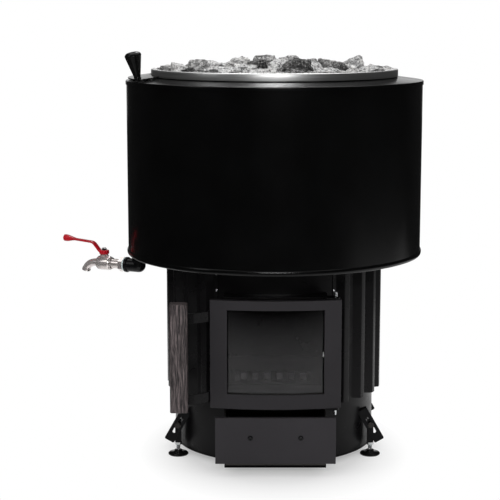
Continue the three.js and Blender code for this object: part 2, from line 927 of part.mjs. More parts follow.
function tankFloor() {
  const high = tankFloorLow + tankSheet;
  const plate = ringShape(wellOuter + gap, tankRadius - tankSheet - gap, tankFloorLow, high, drumSteps);
  const outlet = rodShape(nippleRadius + gap, [tapX, 0, tankBottom], [tapX, 0, tankTop]);
  return cut(plate, outlet);
}

function stoneRing() {
  const inner = wellRadius - gap;
  return turnedShape([
    [ringOuter, ringBottom],
    [ringOuter, ringTop],
    [inner - ringSheet, ringTop],
    [inner - ringSheet, ringTop - ringInnerDepth],
    [inner, ringTop - ringInnerDepth],
    [inner, ringTop - ringSheet],
    [ringOuter - ringSheet, ringTop - ringSheet],
    [ringOuter - ringSheet, ringBottom],
  ], drumSteps);
}

// A place on the cover: X outwards down the slope, Y towards the front, Z square to the cover
function onCover(angle, radius) {
  const turn = new THREE.Euler(0, deg(coverAngle), Math.PI + deg(angle), 'ZYX');
  const place = new THREE.Matrix4().makeRotationFromEuler(turn);
  const x = -radius * Math.cos(deg(angle));
  const y = -radius * Math.sin(deg(angle));
  return place.setPosition(x, y, coverAt(radius));
}

// A sector of the tank seen from above, as a tall block
function sectorShape(inner, outer, back, front) {
  const steps = Array.from({ length: arcSteps + 1 }, (_, i) => deg(back + ((front - back) * i) / arcSteps));
  const arc = (radius) => steps.map((angle) => [-radius * Math.cos(angle), -radius * Math.sin(angle)]);
  const outline = [...arc(outer), ...arc(inner).reverse()];
  return prismShape(outline, tankTop - tankSkirt * 2, tankTop + tankSkirt * 4);
}

const lidAxisRise = gap * 2 + lidKnuckleRadius;
const hatchInner = ringOuter + hatchInnerInset;
const hatchOuter = tankRadius - hatchOuterInset;
const hatchMiddle = (hatchInner + hatchOuter) / 2;
const hatchHalf = (hatchOuter - hatchInner) / 2;
const earFar = hatchHalf - lidEarInset;
const earNear = earFar - lidEarWidth;

// A rod along the hatch's hinge, about the middle of its back edge
function lidPinRod(radius, half) {
  return rodShape(radius, [-half, 0, lidAxisRise], [half, 0, lidAxisRise], boltSteps);
}

function lidPinBore() {
  return lidPinRod(lidPinRadius + gap, hatchHalf * 2).applyMatrix4(onCover(hatchHinge, hatchMiddle));
}

function tankCover() {
  const inner = wellOuter + gap;
  const lipInner = tankRadius + gap;
  const lipOuter = lipInner + coverLipSheet;
  const cone = turnedShape([
    [inner, coverAt(inner)],
    [tankRadius, tankTop],
    [lipOuter, tankTop - coverLipSheet / 2],
    [lipOuter, tankTop - coverLip],
    [lipInner, tankTop - coverLip],
    [lipInner, tankTop - coverSheet],
    [inner, coverAt(inner) - coverSheet],
  ], drumSteps);
  const opening = sectorShape(
    hatchInner + hatchOverlap,
    hatchOuter - hatchOverlap,
    hatchHinge + hatchHingeMargin,
    hatchFront - hatchFrontMargin,
  );
  const hinge = onCover(hatchHinge, hatchMiddle);
  const ears = [-1, 1].map((side) => boxShape(
    [side > 0 ? earNear : -earFar, -lidKnuckleRadius, -coverSheet / 2],
    [side > 0 ? earFar : -earNear, lidKnuckleRadius, lidAxisRise + lidKnuckleRadius],
  ).applyMatrix4(hinge));
  return cut(join(cut(cone, opening), ...ears), lidPinBore());
}

function hatchLid() {
  const under = (radius) => coverAt(radius) + gap;
  const band = turnedShape([
    [hatchInner - tankSkirt, under(hatchInner - tankSkirt)],
    [hatchOuter + tankSkirt, under(hatchOuter + tankSkirt)],
    [hatchOuter + tankSkirt, under(hatchOuter + tankSkirt) + hatchSheet],
    [hatchInner - tankSkirt, under(hatchInner - tankSkirt) + hatchSheet],
  ], drumSteps);
  const plate = solidOf(band).intersect(solidOf(sectorShape(hatchInner, hatchOuter, hatchHinge, hatchFront)));
  const hinge = onCover(hatchHinge, hatchMiddle);
  const barrelHalf = earNear - slideGap;
  const barrel = rodShape(lidKnuckleRadius, [-barrelHalf, 0, lidAxisRise], [barrelHalf, 0, lidAxisRise]);
  const notchDepth = lidKnuckleRadius * 2;
  const notches = [-1, 1].map((side) => boxShape(
    [side > 0 ? barrelHalf : -hatchHalf * 2, -notchDepth, -notchDepth],
    [side > 0 ? hatchHalf * 2 : -barrelHalf, notchDepth, notchDepth * 2],
  ).applyMatrix4(hinge));
  return cut(join(plate, barrel.applyMatrix4(hinge)), ...notches, lidPinBore());
}

function lidKnob() {
  const domeAt = (share) => [
    knobTop * Math.cos((share * Math.PI) / 2),
    knobHeight - knobDome + knobDome * Math.sin((share * Math.PI) / 2),
  ];
  return turnedShape([
    [0, 0],
    [knobCollar, 0],
    [knobCollar, knobCollarHeight],
    [knobNeck, knobCollarHeight + knobShoulder],
    domeAt(0),
    domeAt(0.35),
    domeAt(0.7),
    [0, knobHeight],
  ]);
}

addPiece(stove, 'tank_shell', tankShell(), glossBlack);
addPiece(stove, 'tank_inner_wall', ringShape(
  wellRadius,
  wellOuter,
  tankFloorLow,
  ringTop - ringSheet - gap,
  drumSteps,
), rawIron);
addPiece(stove, 'tank_floor', tankFloor(), glossBlack);
addPiece(stove, 'tank_cover', tankCover(), glossBlack);
addPiece(stove, 'stone_ring', stoneRing(), brushedSteel);
addPiece(stove, 'hatch_lid', hatchLid(), glossBlack);
const lidPin = addPiece(stove, 'lid_hinge_pin', lidPinRod(lidPinRadius, earFar + lidPinProud), zinc);
lidPin.applyMatrix4(onCover(hatchHinge, hatchMiddle));
const knob = addPiece(stove, 'lid_knob', lidKnob().translate(0, 0, gap * 2 + hatchSheet), blackPlastic);
knob.applyMatrix4(onCover(hatchFront - knobInset, hatchMiddle + knobOffset));

// Stones: a level fill under a heap of rough lumps

// Even numbers between two limits, the same on each run
function seededNumbers(seed) {
  const multiplier = 16807;
  const modulus = 2 ** 31 - 1;
  let state = seed;
  return ([low, high]) => {
    state = (state * multiplier) % modulus;
    return low + ((high - low) * state) / modulus;
  };
}

function roughStone(size, random) {
  const ball = new THREE.IcosahedronGeometry(size, 0);
  ball.deleteAttribute('normal');
  ball.deleteAttribute('uv');
  const rough = mergeVertices(ball, weldTolerance);
  const points = rough.attributes.position;
  for (let i = 0; i < points.count; i += 1) {
    const swell = random(stoneSwell);
    points.setXYZ(i, points.getX(i) * swell, points.getY(i) * swell, points.getZ(i) * swell);
  }
  rough.scale(random(stoneStretch), 1, random(stoneFlatness));
  const tilt = [0, deg(stoneTilt)];
  return rough.rotateX(random(tilt)).rotateY(random(tilt)).rotateZ(random([0, 2 * Math.PI]));
}

function stoneBed() {
  const random = seededNumbers(stoneSeed);
  const reach = wellRadius - gap * 2 - ringSheet;
  const fill = discShape(reach, crownHeight + gap, ringTop - stoneBedDrop, drumSteps);
  const goldenTurn = Math.PI * (3 - Math.sqrt(5));
  const stones = Array.from({ length: stoneCount }, (_, i) => {
    const spread = Math.sqrt((i + 0.5) / stoneCount);
    const radius = spread * (reach - stoneSize / 2);
    const size = stoneSize * random(stoneSpread);
    const lift = stoneHeap * (1 - spread) + random([0, stoneScatter]);
    return roughStone(size, random).translate(
      radius * Math.cos(i * goldenTurn),
      radius * Math.sin(i * goldenTurn),
      ringTop - stoneSink + lift,
    );
  });
  const well = discShape(reach, crownHeight, ringTop + stoneSize * 3, drumSteps);
  return join(fill, ...stones).intersect(solidOf(well));
}

addPiece(stove, 'stone_bed', stoneBed(), stone);

// Tap: X along the pipe away from the tank, Z up, the elbow's upright leg at the origin

function tankElbow() {
  const top = tankFloorLow - gap - tapHeight;
  const upright = rodShape(pipeRadius, [0, 0, 0], [0, 0, top]);
  const bend = new THREE.SphereGeometry(pipeRadius, pipeSteps, pipeSteps / 2).rotateX(Math.PI / 2);
  const level = rodShape(pipeRadius, [0, 0, 0], [elbowReach, 0, 0]);
  const bead = rodShape(pipeRadius + elbowBead, [elbowReach - elbowBeadWidth, 0, 0], [elbowReach, 0, 0]);
  const nippleTop = top + gap + tankSheet + nippleRise;
  const nipple = rodShape(nippleRadius, [0, 0, top - overrun], [0, 0, nippleTop]);
  const boreUp = rodShape(pipeBore, [0, 0, -pipeBore], [0, 0, nippleTop + overrun], boltSteps);
  const boreOut = rodShape(pipeBore, [0, 0, 0], [elbowReach + overrun, 0, 0], boltSteps);
  return cut(join(upright, bend, level, bead, nipple), boreUp, boreOut);
}

const nutStart = elbowReach + gap;
const barrelEnd = nutStart + barrelLength;
const chamberEnd = barrelEnd + chamberLength;
const stemAt = barrelEnd + chamberLength / 2;
const spoutEnd = chamberEnd + spoutReach;

function unionNut() {
  const body = rodShape(nutRadius, [nutStart, 0, 0], [nutStart + nutWidth, 0, 0], hexSteps);
  const wayEnd = [nutStart + nutWidth + overrun, 0, 0];
  return cut(body, rodShape(barrelRadius + gap, [nutStart - overrun, 0, 0], wayEnd));
}

function spoutTube(radius, longer) {
  const start = new THREE.Vector3(chamberEnd - spoutBite - longer, 0, 0);
  const knee = new THREE.Vector3(spoutEnd - spoutKnee, 0, 0);
  const end = new THREE.Vector3(spoutEnd, 0, -spoutDrop);
  const fall = end.clone().sub(knee).normalize();
  const route = new THREE.QuadraticBezierCurve3(start, knee, end.addScaledVector(fall, longer));
  const section = new THREE.Shape().absarc(0, 0, radius, 0, 2 * Math.PI, false);
  return new THREE.ExtrudeGeometry(section, {
    steps: spoutSteps,
    curveSegments: spoutSteps,
    extrudePath: route,
  });
}

function ballShape(radius) {
  return new THREE.SphereGeometry(radius, pipeSteps, pipeSteps / 2).translate(stemAt, 0, 0);
}

function tapBody() {
  const outline = [
    [0, nutStart],
    [barrelRadius, nutStart],
    [barrelRadius, barrelEnd - collarWidth],
    [barrelRadius + collarProud, barrelEnd - collarWidth],
    [barrelRadius + collarProud, barrelEnd],
    [chamberRadius, barrelEnd + chamberBevel],
    [chamberRadius, chamberEnd - chamberBevel],
    [spoutRadius + chamberBevel, chamberEnd],
    [0, chamberEnd],
  ];
  const body = turnedShape(outline).rotateY(Math.PI / 2);
  const bonnet = rodShape(bonnetRadius, [stemAt, 0, 0], [stemAt, 0, bonnetTop]);
  const cavity = ballShape(ballRadius + slideGap);
  const way = rodShape(pipeBore, [nutStart - overrun, 0, 0], [chamberEnd - overrun, 0, 0], boltSteps);
  const stemWay = rodShape(stemRadius + gap, [stemAt, 0, 0], [stemAt, 0, bonnetTop + overrun], boltSteps);
  const spout = spoutTube(spoutRadius, 0);
  return cut(join(body, bonnet, spout), cavity, way, stemWay, spoutTube(spoutBore, spoutBite + overrun));
}

function tapBall() {
  const reach = ballRadius * 2;
  const way = rodShape(pipeBore, [stemAt - reach, 0, 0], [stemAt + reach, 0, 0], boltSteps);
  return cut(ballShape(ballRadius), way);
}

const hubLow = bonnetTop + gap;
const hubTop = hubLow + leverHubHeight;
const stemTop = hubTop + gap + leverNutHeight + stemProud;

function tapLever() {
  const hub = rodShape(leverHubRadius, [0, 0, hubLow], [0, 0, hubTop]);
  const middle = (hubLow + hubTop) / 2;
  const line = [
    [0, middle],
    [leverHubRadius, middle],
    [leverKneeReach, middle + leverKneeRise],
    [leverLength - gripRadius, middle + leverEndRise],
  ];
  const half = leverWidth / 2;
  const arm = prismShape(stripOutline(line, leverThickness), -half, half).rotateX(Math.PI / 2);
  const gripStart = leverLength - gripLength;
  const endAt = leverLength - gripRadius;
  const grip = turnedShape([
    [0, gripStart],
    [leverThickness / 2, gripStart],
    [gripRadius, endAt - gripRadius / 2],
    [gripRadius, endAt],
    [gripRadius * 0.6, leverLength - gripTip],
    [0, leverLength],
  ], boltSteps).rotateY(Math.PI / 2).translate(0, 0, middle + leverEndRise);
  const stemWay = rodShape(stemRadius + gap, [0, 0, 0], [0, 0, hubTop + overrun], boltSteps);
  const clearAbove = rodShape(leverNutRadius + slideGap, [0, 0, hubTop], [0, 0, hubTop + leverNutHeight * 3]);
  return cut(join(hub, arm, grip), stemWay, clearAbove);
}

const tap = addGroup(stove, tapX, 0, tapHeight);
tap.rotation.z = Math.PI - deg(tapTurn);
addPiece(tap, 'tank_elbow', tankElbow(), blackPlastic);
addPiece(tap, 'union_nut', unionNut(), nickel);
addPiece(tap, 'tap_body', tapBody(), nickel);
addPiece(tap, 'tap_ball', tapBall(), nickel);
const lever = addGroup(tap, stemAt, 0, 0);
const stem = rodShape(stemRadius, [0, 0, ballRadius + gap], [0, 0, stemTop], boltSteps);
addPiece(lever, 'tap_stem', stem, nickel);
addPiece(lever, 'tap_lever', tapLever(), redCoat);
addPiece(lever, 'lever_nut', cut(
  rodShape(leverNutRadius, [0, 0, hubTop + gap], [0, 0, hubTop + gap + leverNutHeight], hexSteps),
  rodShape(stemRadius + gap, [0, 0, 0], [0, 0, stemTop], boltSteps),
), zinc);

// The origin goes under the middle of the outline

const part = new THREE.Group();
part.add(stove);
const bounds = new THREE.Box3().setFromObject(part, true);
const centre = bounds.getCenter(new THREE.Vector3());
stove.position.set(-centre.x, -centre.y, -bounds.min.z);

export default part;
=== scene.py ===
import math
import random

import bmesh
import bpy
from mathutils import Matrix, Vector, noise


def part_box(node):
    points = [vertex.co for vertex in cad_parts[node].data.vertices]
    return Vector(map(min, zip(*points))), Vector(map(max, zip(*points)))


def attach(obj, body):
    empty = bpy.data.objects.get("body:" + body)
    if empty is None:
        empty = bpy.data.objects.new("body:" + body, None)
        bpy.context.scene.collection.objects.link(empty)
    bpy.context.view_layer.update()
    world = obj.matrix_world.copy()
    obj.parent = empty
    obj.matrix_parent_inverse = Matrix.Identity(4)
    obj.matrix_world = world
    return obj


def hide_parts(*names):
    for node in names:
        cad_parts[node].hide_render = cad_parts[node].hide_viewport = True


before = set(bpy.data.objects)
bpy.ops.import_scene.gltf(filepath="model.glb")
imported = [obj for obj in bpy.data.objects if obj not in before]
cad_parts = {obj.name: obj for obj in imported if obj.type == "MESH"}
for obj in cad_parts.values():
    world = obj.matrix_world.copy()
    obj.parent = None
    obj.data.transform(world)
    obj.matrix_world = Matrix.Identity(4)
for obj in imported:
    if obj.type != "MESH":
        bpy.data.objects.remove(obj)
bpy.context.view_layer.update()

# everything below is in millimetres about the drum's axis, standing on the floor
mm = 0.001
drumLow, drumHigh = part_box("tank_shell")
stoveFrame = Matrix.Translation(((drumLow.x + drumHigh.x) / 2, (drumLow.y + drumHigh.y) / 2, 0))
sheetWeld = 0.002  # points closer than this become one
print("frame loaded,", len(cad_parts), "nodes")


# mesh tools

def makePiece(name, verts, faces, place=stoveFrame, solid=False, sharp=35):
    mesh = bpy.data.meshes.new(name)
    mesh.from_pydata([Vector(v) * mm for v in verts], [], faces)
    bm = bmesh.new()
    bm.from_mesh(mesh)
    bmesh.ops.remove_doubles(bm, verts=bm.verts, dist=sheetWeld * mm)
    bmesh.ops.delete(bm, geom=[v for v in bm.verts if not v.link_faces], context="VERTS")
    if solid:
        bmesh.ops.recalc_face_normals(bm, faces=bm.faces)
    for face in bm.faces:
        face.smooth = True
    bm.to_mesh(mesh)
    bm.free()
    mesh.set_sharp_from_angle(angle=math.radians(sharp))
    piece = bpy.data.objects.new(name, mesh)
    bpy.context.scene.collection.objects.link(piece)
    piece.matrix_world = place
    return piece


# a sheet over two lists; keep(i, j) says which cells stay
def gridSheet(name, us, vs, at, keep=None, wrap=False, flip=False, **more):
    tall = len(vs)
    verts = [at(u, v) for u in us for v in vs]
    faces = []
    for i in range(len(us) if wrap else len(us) - 1):
        k = (i + 1) % len(us)
        for j in range(tall - 1):
            if keep and not keep(i, j):
                continue
            ring = (i * tall + j, k * tall + j, k * tall + j + 1, i * tall + j + 1)
            faces.append(ring[::-1] if flip else ring)
    return makePiece(name, verts, faces, **more)


# turns a list of (radius, height) about the local Z
def turned(name, profile, steps=96, **more):
    loop = list(profile)
    if loop[0][0] > 0 or loop[-1][0] > 0:
        loop.append(loop[0])
    angles = [2 * math.pi * k / steps for k in range(steps)]
    at = lambda a, p: (p[0] * math.cos(a), p[0] * math.sin(a), p[1])
    return gridSheet(name, angles, loop, at, wrap=True, solid=True, **more)


# fillets a line of (x, y, radius)
def roundCorners(corners, closed=True, steps=5):
    line = []
    count = len(corners)
    for i, (x, y, radius) in enumerate(corners):
        here = Vector((x, y))
        if radius == 0 or (not closed and i in (0, count - 1)):
            line.append((x, y))
            continue
        back = (Vector(corners[i - 1][:2]) - here).normalized()
        onward = (Vector(corners[(i + 1) % count][:2]) - here).normalized()
        bend = back.angle(onward)
        centre = here + (back + onward).normalized() * (radius / math.sin(bend / 2))
        first = here + back * (radius / math.tan(bend / 2)) - centre
        last = here + onward * (radius / math.tan(bend / 2)) - centre
        start = math.atan2(first.y, first.x)
        sweep = (math.atan2(last.y, last.x) - start + math.pi) % (2 * math.pi) - math.pi
        for k in range(steps + 1):
            angle = start + sweep * k / steps
            line.append((centre.x + radius * math.cos(angle), centre.y + radius * math.sin(angle)))
    return line


def roundedBox(width, depth, radius, steps=5):
    corners = ((-1, -1), (1, -1), (1, 1), (-1, 1))
    return roundCorners([(sx * width / 2, sy * depth / 2, radius) for sx, sy in corners], steps=steps)


def prism(name, outline, low, high, **more):
    count = len(outline)
    verts = [(x, y, low) for x, y in outline] + [(x, y, high) for x, y in outline]
    faces = [(k, (k + 1) % count, (k + 1) % count + count, k + count) for k in range(count)]
    faces += [tuple(range(count))[::-1], tuple(range(count, 2 * count))]
    return makePiece(name, verts, faces, solid=True, **more)


# section(k, angle) gives the offsets along local Y and square to a path that lies in XZ
def swept(name, path, section, steps=28, **more):
    points = [Vector((x, 0, z)) for x, z in path]
    angles = [2 * math.pi * k / steps for k in range(steps)]

    def at(angle, k):
        ahead = (points[min(k + 1, len(points) - 1)] - points[max(k - 1, 0)]).normalized()
        side, rise = section(k, angle)
        return points[k] + Vector((0, 1, 0)) * side + ahead.cross(Vector((0, 1, 0))) * rise

    piece = gridSheet(name, angles, list(range(len(points))), at, wrap=True, **more)
    bm = bmesh.new()
    bm.from_mesh(piece.data)
    bmesh.ops.holes_fill(bm, edges=[e for e in bm.edges if e.is_boundary], sides=0)
    bmesh.ops.recalc_face_normals(bm, faces=bm.faces)
    bm.to_mesh(piece.data)
    bm.free()
    piece.data.set_sharp_from_angle(angle=math.radians(40))
    return piece


def thicken(piece, depth, offset=-1):
    change = piece.modifiers.new("sheet", "SOLIDIFY")
    change.thickness = depth * mm
    change.offset = offset
    change.use_even_offset = True


def bevelEdges(piece, width, steps=3, limit=38):
    change = piece.modifiers.new("edges", "BEVEL")
    change.width = width * mm
    change.segments = steps
    change.limit_method = "ANGLE"
    change.angle_limit = math.radians(limit)
    change.harden_normals = True


def settle(piece):
    shown = piece.evaluated_get(bpy.context.evaluated_depsgraph_get())
    mesh = bpy.data.meshes.new_from_object(shown)
    piece.modifiers.clear()
    piece.data = mesh
    return piece


def cutFrom(piece, cutter):
    change = piece.modifiers.new("cut", "BOOLEAN")
    change.operation = "DIFFERENCE"
    change.solver = "EXACT"
    change.object = cutter
    settle(piece)
    bpy.data.objects.remove(cutter)


def mergeInto(piece, *others):
    bm = bmesh.new()
    bm.from_mesh(piece.data)
    for other in others:
        mesh = other.data.copy()
        mesh.transform(piece.matrix_world.inverted() @ other.matrix_world)
        bm.from_mesh(mesh)
        bpy.data.objects.remove(other)
    bm.to_mesh(piece.data)
    bm.free()
    return piece


def placed(x, y, z, turn=0, axis="Z", base=stoveFrame):
    return base @ Matrix.Translation(Vector((x, y, z)) * mm) @ Matrix.Rotation(math.radians(turn), 4, axis)


def dress(piece, material, body, slot, *nodes):
    piece.data.materials.clear()
    piece.data.materials.append(material)
    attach(piece, body)
    if nodes:
        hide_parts(*nodes)
    return piece


def spread(low, high, count):
    return [low + (high - low) * k / (count - 1) for k in range(count)]


# material tools

def addNode(tree, kind, sockets=None, **settings):
    made = tree.nodes.new("ShaderNode" + kind)
    for key, value in settings.items():
        setattr(made, key, value)
    for key, value in (sockets or {}).items():
        if isinstance(value, bpy.types.NodeSocket):
            tree.links.new(value, made.inputs[key])
        else:
            made.inputs[key].default_value = value
    return made


def newMaterial(name, values):
    material = bpy.data.materials.new(name)
    material.use_nodes = True
    tree = material.node_tree
    shader = tree.nodes["Principled BSDF"]
    for key, value in values.items():
        shader.inputs[key].default_value = value
    return material, tree, shader


def objectPoint(tree, stretch=(1, 1, 1)):
    point = addNode(tree, "TexCoord").outputs["Object"]
    return addNode(tree, "Mapping", {"Vector": point, "Scale": stretch}).outputs["Vector"]


# local (turn, height, radius) about the piece's own Z, so that brushing runs round it
def turnedPoint(tree, stretch=(1, 1, 1)):
    point = addNode(tree, "TexCoord").outputs["Object"]
    parts = addNode(tree, "SeparateXYZ", {"Vector": point}).outputs
    turn = addNode(tree, "Math", {0: parts["Y"], 1: parts["X"]}, operation="ARCTAN2").outputs[0]
    flat = addNode(tree, "CombineXYZ", {"X": parts["X"], "Y": parts["Y"]}).outputs[0]
    reach = addNode(tree, "VectorMath", {0: flat}, operation="LENGTH").outputs["Value"]
    joined = addNode(tree, "CombineXYZ", {"X": turn, "Y": parts["Z"], "Z": reach}).outputs[0]
    return addNode(tree, "Mapping", {"Vector": joined, "Scale": stretch}).outputs["Vector"]


def noiseOf(tree, point, scale, detail=4, rough=0.55, bend=0):
    sockets = {"Vector": point, "Scale": scale, "Detail": detail, "Roughness": rough, "Distortion": bend}
    return addNode(tree, "TexNoise", sockets).outputs[0]


def mapTo(tree, value, low, high, fromLow=0.3, fromHigh=0.7):
    sockets = {"Value": value, "From Min": fromLow, "From Max": fromHigh, "To Min": low, "To Max": high}
    return addNode(tree, "MapRange", sockets).outputs[0]


def shade(level, warm=0.0):
    return (level * (1 + warm), level, level * (1 - warm), 1)


def rampOf(tree, value, *stops):
    ramp = addNode(tree, "ValToRGB", {"Fac": value})
    for k, (at, colour) in enumerate(stops):
        stop = ramp.color_ramp.elements[k] if k < 2 else ramp.color_ramp.elements.new(at)
        stop.position = at
        stop.color = colour
    return ramp.outputs["Color"]


def mixOf(tree, factor, first, second, blend="MIX"):
    mix = addNode(tree, "Mix", data_type="RGBA", blend_type=blend)
    for socket, value in ((mix.inputs[0], factor), (mix.inputs[6], first), (mix.inputs[7], second)):
        if isinstance(value, bpy.types.NodeSocket):
            tree.links.new(value, socket)
        else:
            socket.default_value = value
    return mix.outputs[2]


def mathOf(tree, operation, first, second=0.0, clamp=False):
    made = addNode(tree, "Math", {0: first, 1: second}, operation=operation, use_clamp=clamp)
    return made.outputs[0]


def bumpOf(tree, height, depth, strength=1.0, below=None):
    sockets = {"Height": height, "Distance": depth * mm, "Strength": strength}
    if below is not None:
        sockets["Normal"] = below
    return addNode(tree, "Bump", sockets).outputs["Normal"]


# how far a spot is turned from its rounded-off surface: near 1 on an edge
def edgeOf(tree, radius):
    rounded = addNode(tree, "Bevel", {"Radius": radius * mm}, samples=6).outputs[0]
    true = addNode(tree, "NewGeometry").outputs["Normal"]
    along = addNode(tree, "VectorMath", {0: rounded, 1: true}, operation="DOT_PRODUCT").outputs["Value"]
    return mapTo(tree, along, 1, 0, 0.72, 0.985)


def finishWith(tree, shader, colour=None, rough=None, normal=None):
    for socket, value in (("Base Color", colour), ("Roughness", rough), ("Normal", normal)):
        if value is not None:
            tree.links.new(value, shader.inputs[socket])


# materials

def plum(level):  # the faint violet cast of the stove's black paint
    return (level * 1.04, level * 0.97, level * 1.08, 1)


def paintedSteel(name, level, grain=0.05, shine=0.14, roughLow=0.42, roughHigh=0.58):
    material, tree, shader = newMaterial(name, {"Specular IOR Level": shine})
    point = objectPoint(tree)
    cloud = noiseOf(tree, point, 5, 5)
    speck = noiseOf(tree, point, 900, 2)
    base = rampOf(tree, cloud, (0.3, plum(level * 0.86)), (0.7, plum(level * 1.12)))
    base = mixOf(tree, mapTo(tree, speck, 0, 0.35, 0.5, 0.8), base, plum(level * 2.0))
    base = mixOf(tree, mathOf(tree, "MULTIPLY", edgeOf(tree, 1.2), 0.35), base, shade(level * 3.2, 0.04))
    rough = mapTo(tree, noiseOf(tree, point, 24, 5), roughLow, roughHigh)
    finishWith(tree, shader, base, rough, bumpOf(tree, speck, grain, 0.6))
    return material


def glossEnamel(name, roughLow, roughHigh):
    material, tree, shader = newMaterial(name, {"Specular IOR Level": 0.28})
    point = objectPoint(tree)
    smear = noiseOf(tree, objectPoint(tree, (1, 1, 0.35)), 9, 5)
    base = rampOf(tree, noiseOf(tree, point, 14, 3), (0.3, shade(0.0007)), (0.75, shade(0.0016, -0.05)))
    dust = mapTo(tree, noiseOf(tree, point, 1400, 1), 0, 0.25, 0.68, 0.8)
    base = mixOf(tree, dust, base, shade(0.02))
    rough = mapTo(tree, smear, roughLow, roughHigh)
    peel = bumpOf(tree, noiseOf(tree, point, 130, 2), 0.05, 0.25)
    finishWith(tree, shader, base, rough, peel)
    return material


def rawIron(name):
    material, tree, shader = newMaterial(name, {"Metallic": 0.55})
    point = objectPoint(tree)
    scale = noiseOf(tree, point, 16, 6, 0.62, 0.4)
    base = rampOf(tree, scale, (0.32, (0.021, 0.019, 0.018, 1)), (0.55, (0.045, 0.041, 0.038, 1)),
                  (0.74, (0.085, 0.062, 0.046, 1)))
    base = mixOf(tree, mathOf(tree, "MULTIPLY", edgeOf(tree, 1.5), 0.4), base, shade(0.16, 0.05))
    rough = mapTo(tree, scale, 0.55, 0.85)
    finishWith(tree, shader, base, rough, bumpOf(tree, noiseOf(tree, point, 240, 5), 0.3, 0.7))
    return material


# soot all over, pale ash on the bars between the grate's ends
def ashyGrate():
    material, tree, shader = newMaterial("ashy grate", {"Specular IOR Level": 0.05})
    point = objectPoint(tree)
    cloud = noiseOf(tree, point, 30, 5, 0.6)
    sides = addNode(tree, "SeparateXYZ", {"Vector": addNode(tree, "TexCoord").outputs["Generated"]}).outputs
    across = mathOf(tree, "ABSOLUTE", mathOf(tree, "SUBTRACT", sides["X"], 0.5))
    along = mathOf(tree, "ABSOLUTE", mathOf(tree, "SUBTRACT", sides["Y"], 0.5))
    facing = addNode(tree, "SeparateXYZ", {"Vector": addNode(tree, "NewGeometry").outputs["Normal"]}).outputs["Z"]
    onBars = mathOf(tree, "MULTIPLY", mapTo(tree, across, 1, 0, 0.36, 0.37), mapTo(tree, along, 1, 0, 0.2, 0.24))
    onBars = mathOf(tree, "MULTIPLY", onBars, mapTo(tree, facing, 0, 1, 0.6, 0.9))
    soot = rampOf(tree, cloud, (0.3, shade(0.002)), (0.7, shade(0.005)))
    ash = rampOf(tree, cloud, (0.3, shade(0.2, 0.01)), (0.7, shade(0.32, 0.01)))
    rough = mapTo(tree, cloud, 0.8, 0.95)
    normal = bumpOf(tree, noiseOf(tree, point, 240, 5), 0.3, 0.7)
    finishWith(tree, shader, mixOf(tree, onBars, soot, ash), rough, normal)
    return material


def brushedSteel(name, level, roughLow, roughHigh):
    material, tree, shader = newMaterial(name, {"Metallic": 1.0, "Anisotropic": 0.15, "Anisotropic Rotation": 0.25})
    lines = noiseOf(tree, turnedPoint(tree, (2.2, 900, 900)), 1, 5, 0.6)
    cloud = noiseOf(tree, turnedPoint(tree, (3, 30, 30)), 1, 4)
    base = rampOf(tree, lines, (0.3, shade(level * 0.8, 0.005)), (0.72, shade(level * 1.15)))
    base = mixOf(tree, mapTo(tree, cloud, 0, 0.3, 0.5, 0.8), base, shade(level * 0.72, 0.02))
    tangent = addNode(tree, "Tangent", direction_type="RADIAL", axis="Z").outputs[0]
    tree.links.new(tangent, shader.inputs["Tangent"])
    rough = mapTo(tree, lines, roughLow, roughHigh)
    finishWith(tree, shader, base, rough, bumpOf(tree, lines, 0.04, 0.5))
    return material


def platedSteel(name, colour, roughLow, roughHigh, metal=1.0):
    material, tree, shader = newMaterial(name, {"Metallic": metal})
    point = objectPoint(tree)
    spangle = addNode(tree, "TexVoronoi", {"Vector": point, "Scale": 260}).outputs["Color"]
    dull = tuple(c * 0.74 for c in colour) + (1,)
    bright = tuple(min(c * 1.1, 1) for c in colour) + (1,)
    base = mixOf(tree, mapTo(tree, noiseOf(tree, point, 70, 5), 0, 1), dull, bright)
    base = mixOf(tree, 0.08, base, spangle, "OVERLAY")
    rough = mapTo(tree, noiseOf(tree, point, 160, 4), roughLow, roughHigh)
    finishWith(tree, shader, base, rough, bumpOf(tree, noiseOf(tree, point, 420, 3), 0.03, 0.4))
    return material


def mouldedPlastic(name, colour, roughLow, roughHigh, grain=0.02, shine=0.5):
    material, tree, shader = newMaterial(name, {"Specular IOR Level": shine})
    point = objectPoint(tree)
    dark = tuple(c * 0.8 for c in colour) + (1,)
    pale = tuple(c * 1.18 for c in colour) + (1,)
    base = mixOf(tree, mapTo(tree, noiseOf(tree, point, 38, 4), 0, 1), dark, pale)
    worn = mathOf(tree, "MULTIPLY", edgeOf(tree, 1), 0.18)
    base = mixOf(tree, worn, base, tuple(min(c * 2.4 + 0.012, 1) for c in colour) + (1,))
    scuff = noiseOf(tree, objectPoint(tree, (1, 1, 6)), 90, 5, 0.65)
    rough = mapTo(tree, scuff, roughLow, roughHigh)
    finishWith(tree, shader, base, rough, bumpOf(tree, noiseOf(tree, point, 520, 3), grain, 0.5))
    return material


